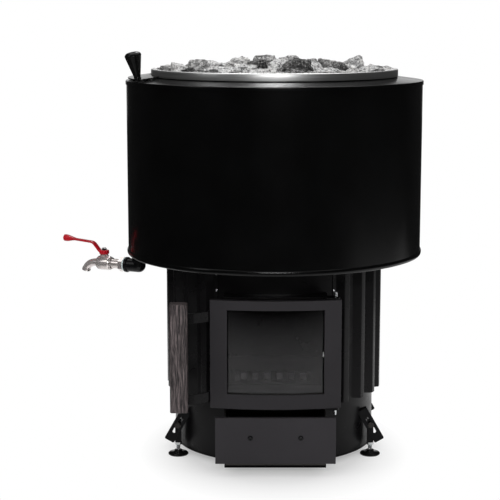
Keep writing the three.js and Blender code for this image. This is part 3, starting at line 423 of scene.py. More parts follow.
def stainedWood():
    material, tree, shader = newMaterial("dark wood", {"Specular IOR Level": 0.2})
    wander = noiseOf(tree, objectPoint(tree, (1, 1, 0.22)), 30, 4)
    shift = addNode(tree, "CombineXYZ", {"X": mathOf(tree, "MULTIPLY", wander, 0.02)}).outputs[0]
    bent = addNode(tree, "VectorMath", {0: objectPoint(tree, (1, 1, 0.05)), 1: shift}, operation="ADD").outputs[0]
    rings = noiseOf(tree, bent, 430, 4, 0.7, 0.8)
    pores = noiseOf(tree, objectPoint(tree, (1, 1, 0.03)), 700, 3, 0.6)
    base = rampOf(tree, rings, (0.38, (0.008, 0.007, 0.0075, 1)), (0.5, (0.060, 0.049, 0.050, 1)),
                  (0.64, (0.145, 0.118, 0.118, 1)))
    base = mixOf(tree, mapTo(tree, pores, 0.8, 0, 0.38, 0.5), base, shade(0.007, 0.05))
    # painted shade: the bar's rounded edges are darkened almost to black
    base = mixOf(tree, mathOf(tree, "MULTIPLY", edgeOf(tree, 2.6), 0.9), base, shade(0.006))
    rough = mapTo(tree, pores, 0.62, 0.42)
    finishWith(tree, shader, base, rough, bumpOf(tree, pores, 0.3, 0.6, bumpOf(tree, rings, 0.25, 0.5)))
    return material


def stoveGlass():
    values = {"Transmission Weight": 1.0, "IOR": 1.47, "Specular IOR Level": 0.5}
    material, tree, shader = newMaterial("stove glass", values)
    point = objectPoint(tree)
    soot = noiseOf(tree, objectPoint(tree, (1, 1, 0.5)), 11, 5)
    base = rampOf(tree, soot, (0.35, (0.79, 0.76, 0.80, 1)), (0.8, (0.59, 0.55, 0.58, 1)))
    rough = mapTo(tree, soot, 0.01, 0.04)
    finishWith(tree, shader, base, rough, bumpOf(tree, noiseOf(tree, point, 9, 1), 0.01, 0.1))
    return material


def ropeSeal():
    material, tree, shader = newMaterial("seal rope", {"Specular IOR Level": 0.2})
    strands = addNode(tree, "TexWave", {"Vector": objectPoint(tree), "Scale": 260, "Distortion": 1.2},
                      bands_direction="DIAGONAL").outputs["Fac"]
    base = rampOf(tree, strands, (0.1, shade(0.012)), (0.9, shade(0.045, 0.03)))
    rough = mapTo(tree, strands, 0.95, 0.8, 0, 1)
    finishWith(tree, shader, base, rough, bumpOf(tree, strands, 0.5, 0.8))
    return material


def saunaStone(name, dark, pale):
    material, tree, shader = newMaterial(name, {"Specular IOR Level": 0.2})
    point = objectPoint(tree)
    lot = addNode(tree, "NewGeometry").outputs["Random Per Island"]
    cloud = noiseOf(tree, point, 42, 6, 0.65)
    base = rampOf(tree, cloud, (0.3, shade(dark, -0.01)), (0.7, shade(pale, 0.02)))
    base = mixOf(tree, mapTo(tree, lot, 0.0, 0.4, 0, 1), base, shade(dark * 0.7, -0.02))
    grit = noiseOf(tree, point, 240, 4, 0.75)
    base = mixOf(tree, mapTo(tree, grit, 0.95, 0, 0.39, 0.49), base, shade(0.025))
    base = mixOf(tree, mapTo(tree, grit, 0, 0.85, 0.53, 0.62), base, shade(min(pale * 0.8 + 0.4, 0.86), 0.01))
    # painted shade: sides and undersides are mixed towards a dark tone, so the upper faces stay pale as if lit from
    # above
    facing = addNode(tree, "SeparateXYZ", {"Vector": addNode(tree, "NewGeometry").outputs["Normal"]}).outputs["Z"]
    base = mixOf(tree, mapTo(tree, facing, 0.5, 0, 0.0, 0.7), base, shade(dark * 0.25, 0.02))
    rough = mapTo(tree, cloud, 0.75, 0.95)
    chips = bumpOf(tree, noiseOf(tree, point, 85, 8, 0.72), 6, 1.0)
    finishWith(tree, shader, base, rough, bumpOf(tree, grit, 1.2, 0.9, chips))
    return material


charcoal = paintedSteel("charcoal paint", 0.021)
frontPaint = paintedSteel("drawer paint", 0.0245)
# painted shade: the mantle, shell, base, door frame and handle brackets share the door's charcoal paint but are written
# far darker, partly for a glossier black finish and partly as shade under the drum and behind the door and handle
shadedMantlePaint = paintedSteel("shaded mantle paint", 0.0036, 0.04, 0.175, 0.24, 0.34)
shadedShellPaint = paintedSteel("shaded shell paint", 0.0028, 0.015, 0.12, 0.26, 0.36)
enamel = glossEnamel("gloss enamel", 0.17, 0.25)
coverEnamel = glossEnamel("cover enamel", 0.16, 0.24)
iron = rawIron("raw iron")
ashyIron = ashyGrate()
sootyIron = paintedSteel("sooty iron", 0.006, 0.3, 0.05, 0.7, 0.9)
ringSteel = brushedSteel("ring steel", 0.80, 0.34, 0.42)
wellSteel = brushedSteel("well steel", 0.40, 0.30, 0.45)
zinc = platedSteel("bright zinc", (0.74, 0.75, 0.77), 0.2, 0.34)
nickel = platedSteel("nickel", (0.92, 0.84, 0.82), 0.13, 0.24, 0.8)
redCoat = mouldedPlastic("red coat", (0.36, 0.0025, 0.01), 0.22, 0.36, 0.02, 0.3)
fitting = mouldedPlastic("black fitting", (0.0035, 0.0035, 0.004), 0.16, 0.3, 0.05, 0.25)
legPaint = mouldedPlastic("leg paint", (0.004, 0.004, 0.0045), 0.3, 0.42, 0.05, 0.12)
knobBlack = mouldedPlastic("black plastic", (0.004, 0.004, 0.004), 0.12, 0.22, 0.02, 0.2)
washerPale = mouldedPlastic("pale washer", (0.62, 0.72, 0.73), 0.4, 0.55)
wood = stainedWood()
glass = stoveGlass()
rope = ropeSeal()
paleStone = saunaStone("pale stone", 0.45, 0.84)
greyStone = saunaStone("grey stone", 0.18, 0.46)
darkStone = saunaStone("dark stone", 0.04, 0.12)
print("materials ready")


# water tank

drum = dict(radius=300, sheet=2, low=407, high=756.2, beadHeight=10, beadProud=2.5, beadSteps=12,
            seamHalf=2.3, seamProud=0.9)


def buildDrum():
    inner = drum["radius"] - drum["sheet"]
    half = drum["beadHeight"] / 2
    profile = [(inner, drum["low"])]
    for k in range(drum["beadSteps"] + 1):
        angle = math.pi * (k / drum["beadSteps"] - 0.5)
        profile.append((drum["radius"] + drum["beadProud"] * math.cos(angle),
                        drum["low"] + half + half * math.sin(angle)))
    profile += [(drum["radius"], drum["high"]), (inner, drum["high"])]
    wall = turned("drum_wall", profile, steps=192)
    dress(wall, enamel, "stove", "gloss_enamel", "tank_shell")

    # lap seam down the back
    outer = drum["radius"] + drum["seamProud"]
    turns = [math.radians(90 + a) for a in spread(-drum["seamHalf"], drum["seamHalf"], 7)]
    heights = [drum["low"] + drum["beadHeight"] + 1, drum["high"] - 6]
    at = lambda a, z: (outer * math.cos(a), outer * math.sin(a), z)
    seam = gridSheet("drum_seam", turns, heights, at)
    thicken(seam, drum["seamProud"] + 0.4)
    bevelEdges(seam, 0.35)
    dress(settle(seam), enamel, "stove", "gloss_enamel")


cover = dict(inner=243.4, outer=300, slope=7.4, high=759, sheet=2.0, lipReach=301.6, lipLow=751, lipRound=2,
             mouthInner=257.5, mouthOuter=291.5, mouthBack=-31, mouthFront=16, earNear=14, earFar=19,
             hingeTurn=-38, hingeReach=274.5, pinRise=5.3, barrel=4.5)


def coverTop(reach):
    return cover["high"] + (cover["outer"] - reach) * math.tan(math.radians(cover["slope"]))


# turn is counted from the drum's left side towards its front
def coverPoint(turn, reach, rise=0.0):
    angle = math.radians(turn)
    return Vector((-reach * math.cos(angle), -reach * math.sin(angle), coverTop(reach) + rise))


# X runs down the slope, Y towards the front, Z square off the cover
def onCover(turn, reach):
    angle = math.radians(turn)
    down = math.radians(cover["slope"])
    ahead = Vector((math.sin(angle), -math.cos(angle), 0))
    outward = Vector((-math.cos(angle) * math.cos(down), -math.sin(angle) * math.cos(down), -math.sin(down)))
    local = Matrix((outward, ahead, outward.cross(ahead))).transposed().to_4x4()
    return stoveFrame @ Matrix.Translation(coverPoint(turn, reach) * mm) @ local


def buildCover():
    reaches = sorted({cover["inner"], cover["mouthInner"], cover["mouthOuter"], cover["outer"] - 1}
                     | set(spread(cover["mouthInner"], cover["mouthOuter"], 5)))
    line = [(r, coverTop(r)) for r in reaches]
    lip = cover["lipRound"]
    for k in range(1, 7):
        angle = math.radians(90 - 15 * k)
        line.append((cover["lipReach"] - lip + lip * math.cos(angle), cover["high"] - lip + lip * math.sin(angle)))
    line.append((cover["lipReach"], cover["lipLow"]))
    turns = sorted(set(range(-180, 180, 2)) | {cover["mouthBack"], cover["mouthFront"]})

    def at(turn, spot):
        angle = math.radians(turn)
        return (-spot[0] * math.cos(angle), -spot[0] * math.sin(angle), spot[1])

    def keep(i, j):
        inMouth = cover["mouthBack"] <= turns[i] < cover["mouthFront"]
        return not (inMouth and cover["mouthInner"] - 0.1 <= line[j][0] < cover["mouthOuter"] - 0.1)

    sheet = gridSheet("drum_cover", turns, line, at, keep, wrap=True, flip=True)
    thicken(sheet, cover["sheet"])
    settle(sheet)
    sheet.data.set_sharp_from_angle(angle=math.radians(40))

    # hinge ears: the plate's outline lies in the hinge's YZ plane
    hinge = onCover(cover["hingeTurn"], cover["hingeReach"])
    upright = hinge @ Matrix(((0, 0, 1, 0), (1, 0, 0, 0), (0, 1, 0, 0), (0, 0, 0, 1)))
    outline = [(-cover["barrel"], -1.0)]
    for k in range(13):
        angle = math.pi * k / 12
        outline.append((-cover["barrel"] * math.cos(angle), cover["pinRise"] + cover["barrel"] * math.sin(angle)))
    outline.append((cover["barrel"], -1.0))
    for side in (-1, 1):
        ends = sorted((side * cover["earNear"], side * cover["earFar"]))
        ear = prism("ear", outline, ends[0], ends[1], place=upright)
        bevelEdges(ear, 0.5, 2)
        mergeInto(sheet, settle(ear))
    dress(sheet, coverEnamel, "stove", "gloss_enamel", "tank_cover")


knob = dict(lean=4, turn=20.5, reach=287.5, collar=7.4, neck=6.6, crown=16.6, shoulder=47, dome=7.5)
lid = dict(inner=252.5, outer=296.5, back=-36.6, front=27, sheet=2.5, gap=0.4, corner=9, barrelHalf=13.4)


def buildLid():
    half = (lid["outer"] - lid["inner"]) / 2
    middle = (lid["outer"] + lid["inner"]) / 2
    corner = lid["corner"]
    arc = math.radians(lid["front"] - lid["back"]) * middle
    stations = [0, 0.6, 2, 4, 6.5, corner] + spread(corner + 6, arc - corner - 6, 22)
    stations += [arc - s for s in (corner, 6.5, 4, 2, 0.6, 0)]
    shares = spread(-1, 1, 9)

    def at(station, share):
        fromEnd = corner - min(station, arc - station, corner)
        width = half - (corner - math.sqrt(max(corner ** 2 - fromEnd ** 2, 0)))
        turn = lid["back"] + math.degrees(station / middle)
        return coverPoint(turn, middle + share * width, lid["gap"] + lid["sheet"])

    plate = gridSheet("filling_lid", stations, shares, at)
    thicken(plate, lid["sheet"])
    bevelEdges(plate, 0.7)
    settle(plate)
    hinge = onCover(cover["hingeTurn"], cover["hingeReach"])
    level = hinge @ Matrix.Translation((0, 0, cover["pinRise"] * mm)) @ Matrix.Rotation(math.pi / 2, 4, "Y")
    r = cover["barrel"]
    ends = [(-lid["barrelHalf"], 1), (lid["barrelHalf"], -1)]
    profile = [(2.3, ends[0][0])] + [(r - 0.5, ends[0][0]), (r, ends[0][0] + 0.5)]
    profile += [(r, ends[1][0] - 0.5), (r - 0.5, ends[1][0]), (2.3, ends[1][0])]
    barrel = turned("barrel", profile, steps=32, place=level)
    # leaf from the barrel to the plate
    leaf = prism("leaf", [(-lid["barrelHalf"], 1.5), (lid["barrelHalf"], 1.5), (lid["barrelHalf"], 9),
                          (-lid["barrelHalf"], 9)], lid["gap"] + 0.6, lid["gap"] + lid["sheet"] - 0.2, place=hinge)
    bevelEdges(leaf, 0.4, 2)
    mergeInto(plate, barrel, settle(leaf))
    dress(plate, coverEnamel, "hatch", "gloss_enamel", "hatch_lid")

    k = knob
    knobFrame = placed(0, 0, lid["gap"] + lid["sheet"] + 0.4, k["lean"], "Y", base=onCover(k["turn"], k["reach"]))
    profile = [(0, 0), (k["collar"] - 0.5, 0), (k["collar"], 0.5), (k["collar"], 2.4), (k["neck"] + 0.4, 3.2),
               (k["neck"], 4.2), (k["neck"] + 0.3, 6), (k["crown"] - 0.25, k["shoulder"] - 1)]
    for step in range(12):
        angle = math.pi / 2 * step / 12
        profile.append((k["crown"] * math.cos(angle) ** 0.6, k["shoulder"] + k["dome"] * math.sin(angle) ** 1.15))
    profile.append((0, k["shoulder"] + k["dome"]))
    dress(turned("filling_knob", profile, steps=64, place=knobFrame, sharp=60), knobBlack, "hatch",
          "black_plastic", "lid_knob")


ring = dict(outer=250, inner=238.6, low=766.8, high=781.3, sheet=2, flange=12, bend=2.6)


def buildRing():
    s = ring["sheet"]
    b = ring["bend"]
    corners = [(ring["outer"], ring["low"], 0.5), (ring["outer"], ring["high"], b),
               (ring["inner"], ring["high"], b), (ring["inner"], ring["high"] - ring["flange"], 0.5),
               (ring["inner"] + s, ring["high"] - ring["flange"], 0.5), (ring["inner"] + s, ring["high"] - s, b - s),
               (ring["outer"] - s, ring["high"] - s, b - s), (ring["outer"] - s, ring["low"], 0.5)]
    rim = turned("well_ring", roundCorners(corners, steps=4), steps=192)
    dress(rim, ringSteel, "stove", "ring_steel", "stone_ring")


buildDrum()
buildCover()
buildLid()
buildRing()
print("tank built")


# sauna stones: the ones that show in the photograph, listed one by one, then layers that fill the well
well = dict(reach=236, seed=41, layers=((738, 42, 0.5), (758, 36, 0.3), (774, 22, 0.14)), edgeFall=0.06)
# x, y and top of each, half sizes, turn, tone
photoStones = [
    (39, -150, 808, 42, 30, 25, 8, "dark"),
    (150, -70, 811, 31, 33, 27, 60, "pale"),
    (127, -122, 797, 19, 16, 14, 20, "dark"),
    (-38, -82, 803, 33, 26, 20, -25, "dark"),
    (-76, -55, 808, 33, 34, 24, 15, "pale"),
    (-157, -70, 802, 28, 30, 20, 80, "grey"),
    (-187, -95, 797, 24, 22, 18, 30, "pale"),
    (-105, -158, 791, 52, 30, 16, 10, "pale"),
    (105, -50, 804, 30, 28, 22, -40, "grey"),
    (-20, 50, 808, 34, 36, 22, 20, "grey"),
    (34, 60, 807, 30, 32, 22, 75, "pale"),
    (76, -108, 800, 24, 22, 18, 33, "pale"),
    (-206, -35, 789, 22, 24, 15, 0, "dark"),
    (-122, -182, 787, 24, 17, 12, 30, "dark"),
    (-22, -186, 789, 40, 24, 14, -8, "pale"),
    (98, -172, 790, 34, 24, 15, -18, "pale"),
    (172, -122, 791, 27, 25, 15, 45, "pale"),
    (204, -66, 789, 22, 24, 14, 15, "dark"),
    (212, 10, 790, 20, 24, 14, 70, "pale"),
    (-212, 30, 788, 20, 24, 14, 10, "pale"),
    (-130, 20, 797, 27, 25, 18, 35, "pale"),
    (160, 40, 798, 27, 27, 18, 5, "grey"),
    (-168, -136, 789, 15, 13, 11, 20, "dark"),
    (-148, -168, 786, 20, 12, 10, -20, "dark"),
    (-214, -62, 790, 17, 18, 13, 50, "grey"),
    (66, -192, 787, 20, 14, 11, 10, "grey"),
    (128, -176, 787, 17, 14, 11, -30, "pale"),
    (150, -150, 794, 22, 18, 14, 25, "pale"),
    (190, -112, 789, 17, 15, 11, 10, "grey"),
    (222, -38, 788, 13, 17, 11, 40, "pale"),
    (12, -118, 800, 22, 18, 15, 30, "pale"),
    (-4, -60, 803, 20, 19, 15, 75, "pale"),
    (74, -78, 805, 18, 17, 14, 10, "pale"),
    (-58, -132, 796, 26, 20, 15, -15, "pale"),
]
stoneTones = {"pale": 0, "grey": 1, "dark": 2}


# a box cut by random planes, its edges knocked off and its faces roughened
def stoneInto(heap, rng, top, halves, turn, finest, tone):
    bm = bmesh.new()
    bmesh.ops.create_cube(bm, size=2)
    for k in range(rng.randint(13, 18)):
        way = Vector((rng.gauss(0, 1), rng.gauss(0, 1), rng.gauss(0, 1))).normalized()
        parts = bm.verts[:] + bm.edges[:] + bm.faces[:]
        cut = bmesh.ops.bisect_plane(bm, geom=parts, plane_co=way * rng.uniform(0.66, 0.98), plane_no=way,
                                     clear_outer=True)["geom_cut"]
        rim = [e for e in cut if isinstance(e, bmesh.types.BMEdge)]
        if rim:
            bmesh.ops.edgenet_fill(bm, edges=rim)
    bmesh.ops.bevel(bm, geom=bm.edges[:], offset=0.035, segments=1, affect="EDGES", profile=0.5)
    for k in range(5):
        bmesh.ops.triangulate(bm, faces=bm.faces[:])
        wide = [e for e in bm.edges if e.calc_length() > finest]
        if not wide:
            break
        bmesh.ops.subdivide_edges(bm, edges=wide, cuts=1)
    bmesh.ops.triangulate(bm, faces=bm.faces[:])
    bm.normal_update()
    shift = Vector((rng.uniform(0, 90), rng.uniform(0, 90), rng.uniform(0, 90)))
    for vert in bm.verts:
        rough = 0.11 * noise.noise(vert.co * 2.2 + shift) + 0.06 * noise.noise(vert.co * 5.5 + shift)
        rough += 0.035 * noise.noise(vert.co * 13 + shift)
        vert.co += vert.normal * rough
    spin = Matrix.Rotation(math.radians(turn), 3, "Z") @ Matrix.Rotation(rng.uniform(-0.35, 0.35), 3, "X")
    for vert in bm.verts:
        vert.co = spin @ Vector((vert.co.x * halves[0], vert.co.y * halves[1], vert.co.z * halves[2]))
    lift = top[2] - max(v.co.z for v in bm.verts)
    for vert in bm.verts:
        vert.co = (vert.co + Vector((top[0], top[1], lift))) * mm
    for face in bm.faces:
        face.material_index = tone
        face.smooth = True
    mesh = bpy.data.meshes.new("stone")
    bm.to_mesh(mesh)
    bm.free()
    heap.from_mesh(mesh)
    bpy.data.meshes.remove(mesh)


def buildStones():
    rng = random.Random(well["seed"])
    heap = bmesh.new()
    for x, y, top, a, b, c, turn, tone in photoStones:
        stoneInto(heap, rng, (x, y, top), (a, b, c), turn, 0.11, stoneTones[tone])
    for height, size, finest in well["layers"]:
        reach = well["reach"] - size
        while reach > -size:
            ring = max(reach, 0)
            count = max(1, round(2 * math.pi * ring / (size * 1.7)))
            start = rng.uniform(0, 6)
            for k in range(count):
                angle = start + 2 * math.pi * k / count
                x = ring * math.cos(angle) + rng.uniform(-4, 0) * math.cos(angle)
                y = ring * math.sin(angle) + rng.uniform(-4, 0) * math.sin(angle)
                halves = [size * rng.uniform(0.8, 1.0), size * rng.uniform(0.8, 1.0), size * rng.uniform(0.5, 0.7)]
                top = height + size * 0.55 + rng.uniform(-4, 4) - well["edgeFall"] * max(ring - 150, 0)
                tone = rng.choice((0, 0, 0, 1, 1, 2))
                stoneInto(heap, rng, (x, y, top), halves, rng.uniform(0, 180), finest, tone)
            reach -= size * 1.55
    mesh = bpy.data.meshes.new("stone_heap")
    heap.to_mesh(mesh)
    heap.free()
    mesh.set_sharp_from_angle(angle=math.radians(26))
    pile = bpy.data.objects.new("stone_heap", mesh)
    bpy.context.scene.collection.objects.link(pile)
    pile.matrix_world = stoveFrame
    tones = [polygon.material_index for polygon in mesh.polygons]
    dress(pile, paleStone, "stove", "sauna_stone", "stone_bed")
    mesh.materials.append(greyStone)
    mesh.materials.append(darkStone)
    mesh.polygons.foreach_set("material_index", tones)


buildStones()
print("stones piled")


# firebox, its jacket and what stands under it

shell = dict(radius=206, wall=4, low=18.4, high=614.6, throatHalf=100.4, throatLow=130, throatHigh=354,
             drawerHigh=118.4, flueHeight=335, flueHole=60.4)


def buildShell():
    edge = math.degrees(math.asin(shell["throatHalf"] / shell["radius"]))
    turns = sorted(set(spread(-180, 177, 120)) | {-edge, edge})
    turns = [t for t in turns if abs(abs(t) - edge) < 1e-6 or abs(abs(t) - edge) > 0.8]
    heights = [shell["low"], shell["drawerHigh"], shell["throatLow"], shell["throatHigh"], 480, shell["high"]]

    # turn 0 faces the front
    def at(turn, z):
        angle = math.radians(turn)
        return (shell["radius"] * math.sin(angle), -shell["radius"] * math.cos(angle), z)

    def keep(i, j):
        return not (-edge - 1e-6 <= turns[i] < edge - 1e-6 and j in (0, 2))

    tube = gridSheet("firebox_tube", turns, heights, at, keep, wrap=True)
    thicken(tube, shell["wall"])
    settle(tube)
    cutter = turned("cutter", [(0, 60), (shell["flueHole"], 60), (shell["flueHole"], 320), (0, 320)], steps=72,
                    place=placed(0, 0, shell["flueHeight"], -90, "X"))
    cutFrom(tube, cutter)
    tube.data.set_sharp_from_angle(angle=math.radians(40))
    dress(tube, shadedShellPaint, "stove", "charcoal_paint", "firebox_shell")


flue = dict(inner=57.5, outer=60, near=190, far=312, beadLow=292, beadHigh=300, bead=62)


def buildFlue():
    o = flue["outer"]
    beadMiddle = (flue["beadLow"] + flue["beadHigh"]) / 2
    half = (flue["beadHigh"] - flue["beadLow"]) / 2
    profile = [(flue["inner"], flue["near"]), (o, flue["near"])]
    for k in range(9):
        angle = math.pi * (k / 8 - 0.5)
        profile.append((o + (flue["bead"] - o) * math.cos(angle), beadMiddle + half * math.sin(angle)))
    profile += [(o, flue["far"] - 0.6), (o - 0.6, flue["far"]), (flue["inner"] + 0.6, flue["far"]),
                (flue["inner"], flue["far"] - 0.6)]
    pipe = turned("flue_pipe", profile, steps=96, place=placed(0, 0, shell["flueHeight"], -90, "X"))
    dress(pipe, iron, "stove", "raw_iron", "flue_collar")


base = dict(radius=206, low=14, high=18, sillHalf=99.6, sillFront=-232, lipSheet=2, lipHigh=21)


def buildBase():
    r = base["radius"]
    corners = [(r, base["low"], 0.8), (r, base["high"], 0.8)]
    disc = turned("floor_disc", [(0, base["low"])] + roundCorners(
        [(0, base["low"], 0)] + corners + [(0, base["high"], 0)], steps=3)[1:], steps=160)
    sill = prism("sill", [(-base["sillHalf"], base["sillFront"]), (base["sillHalf"], base["sillFront"]),
                          (base["sillHalf"], -150), (-base["sillHalf"], -150)], base["low"], base["high"] - 0.05)
    bevelEdges(sill, 0.7)
    lip = prism("lip", [(-base["sillHalf"], base["sillFront"]), (base["sillHalf"], base["sillFront"]),
                        (base["sillHalf"], base["sillFront"] + base["lipSheet"]),
                        (-base["sillHalf"], base["sillFront"] + base["lipSheet"])], base["low"] + 0.1, base["lipHigh"])
    bevelEdges(lip, 0.6)
    mergeInto(disc, settle(sill), settle(lip))
    dress(disc, shadedShellPaint, "stove", "charcoal_paint", "base_plate")


jacket = dict(valley=207.6, crest=222.4, first=33.0, last=162.5, ribs=10, ribWidth=13, flank=10, sheet=1.2,
              low=130, high=400, bend=2.4, screws=(148, 357, 390))


def buildJacket():
    pitch = (jacket["last"] - jacket["first"]) / jacket["ribs"]
    top = math.degrees(jacket["ribWidth"] / jacket["crest"])
    side = math.degrees(jacket["flank"] / jacket["crest"])
    for sign, name, node in ((1, "jacket_right", "mantle_right"), (-1, "jacket_left", "mantle_left")):
        corners = []
        spots = [(jacket["first"], jacket["valley"], 0)]
        for k in range(jacket["ribs"]):
            middle = jacket["first"] + pitch * (k + 0.5)
            for turn, reach in ((middle - top / 2 - side, jacket["valley"]), (middle - top / 2, jacket["crest"]),
                                (middle + top / 2, jacket["crest"]), (middle + top / 2 + side, jacket["valley"])):
                spots.append((turn, reach, jacket["bend"]))
        spots.append((jacket["last"], jacket["valley"], 0))
        for turn, reach, bend in spots:
            angle = math.radians(turn)
            corners.append((sign * reach * math.sin(angle), -reach * math.cos(angle), bend))
        line = roundCorners(corners, closed=False, steps=4)
        at = lambda p, z: (p[0], p[1], z)
        sheet = gridSheet(name, line, [jacket["low"], 200, 300, jacket["high"]], at, flip=sign < 0, sharp=60)
        thicken(sheet, jacket["sheet"])
        settle(sheet)
        sheet.data.set_sharp_from_angle(angle=math.radians(50))
        dress(sheet, shadedMantlePaint, "stove", "charcoal_paint", node)
        # screws that hold the front edge to the shell
        for z in jacket["screws"]:
            turn = math.radians(jacket["first"] + 0.75)
            out = Vector((sign * math.sin(turn), -math.cos(turn), 0))
            spot = stoveFrame @ Matrix.Translation((out * jacket["valley"] + Vector((0, 0, z))) * mm)
            head = [(0, 0.9), (0.9, 0.9), (1.0, 1.7), (2.0, 1.5), (2.7, 0.8), (2.8, 0), (0, 0)]
            screw = turned("%s_screw_%d" % (name, z), head, steps=24,
                           place=spot @ out.to_track_quat("Z", "Y").to_matrix().to_4x4())
            dress(screw, zinc, "stove", "bright_zinc")


buildShell()
buildFlue()
buildBase()
buildJacket()
print("firebox built")


# door, in its own frame: Y runs into the stove, Z up from the door's lower edge
door = dict(face=-247, low=135, curve=540, half=127, high=214, sheet=3, rim=13, bend=3, windowHalf=94,
            windowLow=29, windowHigh=195, hingeX=116, knuckle=6, knuckleLong=24, knuckleInset=1.5, pin=3.5, pinEnd=2.8)
doorFrame = placed(0, door["face"], door["low"])


def doorCurve(x, depth=0.0):
    return door["curve"] - math.sqrt((door["curve"] - depth) ** 2 - x * x)


def buildDoorPanel():
    w, h, d = door["half"], door["high"], door["rim"]
    columns = sorted(set(spread(-w, w, 41)) | {-door["windowHalf"], door["windowHalf"]})
    rows = sorted(set(spread(0, h, 9)) | {door["windowLow"], door["windowHigh"]})
    # the outermost entries are the folded rim
    us = [(-w, d)] + [(x, 0) for x in columns] + [(w, d)]
    vs = [(0, d)] + [(z, 0) for z in rows] + [(h, d)]

    def at(u, v):
        return (u[0], doorCurve(u[0], max(u[1], v[1])), v[0])

    def keep(i, j):
        onRimU = i in (0, len(us) - 2)
        onRimV = j in (0, len(vs) - 2)
        if onRimU and onRimV:
            return False
        inWindow = abs(us[i][0] + us[i + 1][0]) / 2 < door["windowHalf"]
        return not (inWindow and door["windowLow"] <= vs[j][0] < door["windowHigh"] and not onRimV and not onRimU)

    panel = gridSheet("door_skin", us, vs, at, keep, place=doorFrame)
    thicken(panel, door["sheet"])
    bevelEdges(panel, 1.1, 3, 50)
    settle(panel)
    hingeY = doorCurve(door["hingeX"]) + 7.0
    lowPin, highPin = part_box("hinge_pin_lower")
    hinge = Vector(((lowPin.x + highPin.x) / 2, (lowPin.y + highPin.y) / 2, 0)) - doorFrame.translation
    for z in (door["knuckleInset"], h - door["knuckleInset"] - door["knuckleLong"]):
        k = door["knuckle"]
        long = door["knuckleLong"]
        profile = [(door["pin"] + 0.3, 0), (k - 0.6, 0), (k, 0.6), (k, long - 0.6), (k - 0.6, long),
                   (door["pin"] + 0.3, long)]
        place = placed(hinge.x / mm, hinge.y / mm, z, base=doorFrame)
        mergeInto(panel, turned("knuckle", profile, steps=40, place=place))
    dress(panel, charcoal, "door", "charcoal_paint", "door_panel")


pane = dict(half=103, low=20, high=204, depth=6.8, sheet=4)


def buildPane():
    columns = spread(-pane["half"], pane["half"], 33)
    at = lambda x, z: (x, doorCurve(x, pane["depth"]), z)
    sheet = gridSheet("door_pane", columns, [pane["low"], pane["high"]], at, place=doorFrame)
    thicken(sheet, pane["sheet"])
    bevelEdges(sheet, 0.5, 2, 60)
    dress(settle(sheet), glass, "door", "stove_glass", "door_glass")

    # spring clip that shows at the window's right edge
    spot = doorFrame @ Matrix.Translation(Vector((92.4, doorCurve(92.4, 5.4), 107)) * mm)
    clip = prism("pane_clip", roundedBox(2.6, 1.2, 0.5, 3), -5, 5, place=spot)
    bevelEdges(clip, 0.3, 2)
    dress(settle(clip), zinc, "door", "bright_zinc")


handle = dict(x=-185.5, y=-265, width=34, depth=28, corner=4, low=137, high=349)
bracket = dict(sheet=3.6, high=20.5, lows=(146, 306), bend=6,
               line=((-129.2, 28.15), (-129.2, 18.15), (-158.5, -1.8), (-198.5, -1.8)))


def buildHandle():
    spot = placed(handle["x"], handle["y"], 0)
    bar = prism("handle_wood", roundedBox(handle["width"], handle["depth"], handle["corner"], 6),
                handle["low"], handle["high"], place=spot)
    bevelEdges(bar, 2.0, 4, 60)
    dress(settle(bar), wood, "door", "dark_wood", "handle_bar")
    for low, name, node in zip(bracket["lows"], ("handle_arm_lower", "handle_arm_upper"),
                               ("handle_bracket_lower", "handle_bracket_upper")):
        corners = [(x, y, bracket["bend"]) for x, y in bracket["line"]]
        line = roundCorners(corners, closed=False, steps=6)
        at = lambda p, z: (p[0], p[1] + door["face"], z)
        strap = gridSheet(name, line, [low, low + bracket["high"]], at)
        thicken(strap, bracket["sheet"], 0)
        bevelEdges(strap, 0.7, 2, 60)
        settle(strap)
        # painted shade: the brackets take the darker mantle paint
        dress(strap, shadedMantlePaint, "door", "charcoal_paint", node)
        # two pan-head screws into the bar from behind
        for x in (-178, -193):
            place = placed(x, door["face"] + bracket["line"][2][1] + bracket["sheet"] / 2,
                           low + bracket["high"] / 2, -90, "X")
            head = [(0, 1.1), (1.3, 1.1), (1.5, 1.9), (2.6, 1.7), (3.5, 1.0), (3.7, 0.3), (3.7, 0), (0, 0)]
            screw = turned("%s_screw_%d" % (name, abs(x)), head, steps=28, place=place)
            dress(screw, zinc, "door", "bright_zinc")


def buildHingePins():
    for name, node in (("pin_upper", "hinge_pin_upper"), ("pin_lower", "hinge_pin_lower")):
        low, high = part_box(node)
        r = door["pin"]
        span = (high.z - low.z) / mm
        end = door["pinEnd"]
        profile = [(0, 0), (end - 0.7, 0), (end, 0.7), (end, 9.6), (r, 10.2), (r, span - 10.2), (end, span - 9.6),
                   (end, span - 0.7), (end - 0.7, span), (0, span)]
        place = Matrix.Translation(((low.x + high.x) / 2, (low.y + high.y) / 2, low.z))
        dress(turned(name, profile, steps=32, place=place), zinc, "stove", "bright_zinc", node)


buildDoorPanel()
buildPane()
buildHandle()
buildHingePins()
print("door built")


# ash drawer
drawer = dict(face=-252, half=117, low=28, high=120, sheet=3, lip=10, boltX=49, boltZ=80)


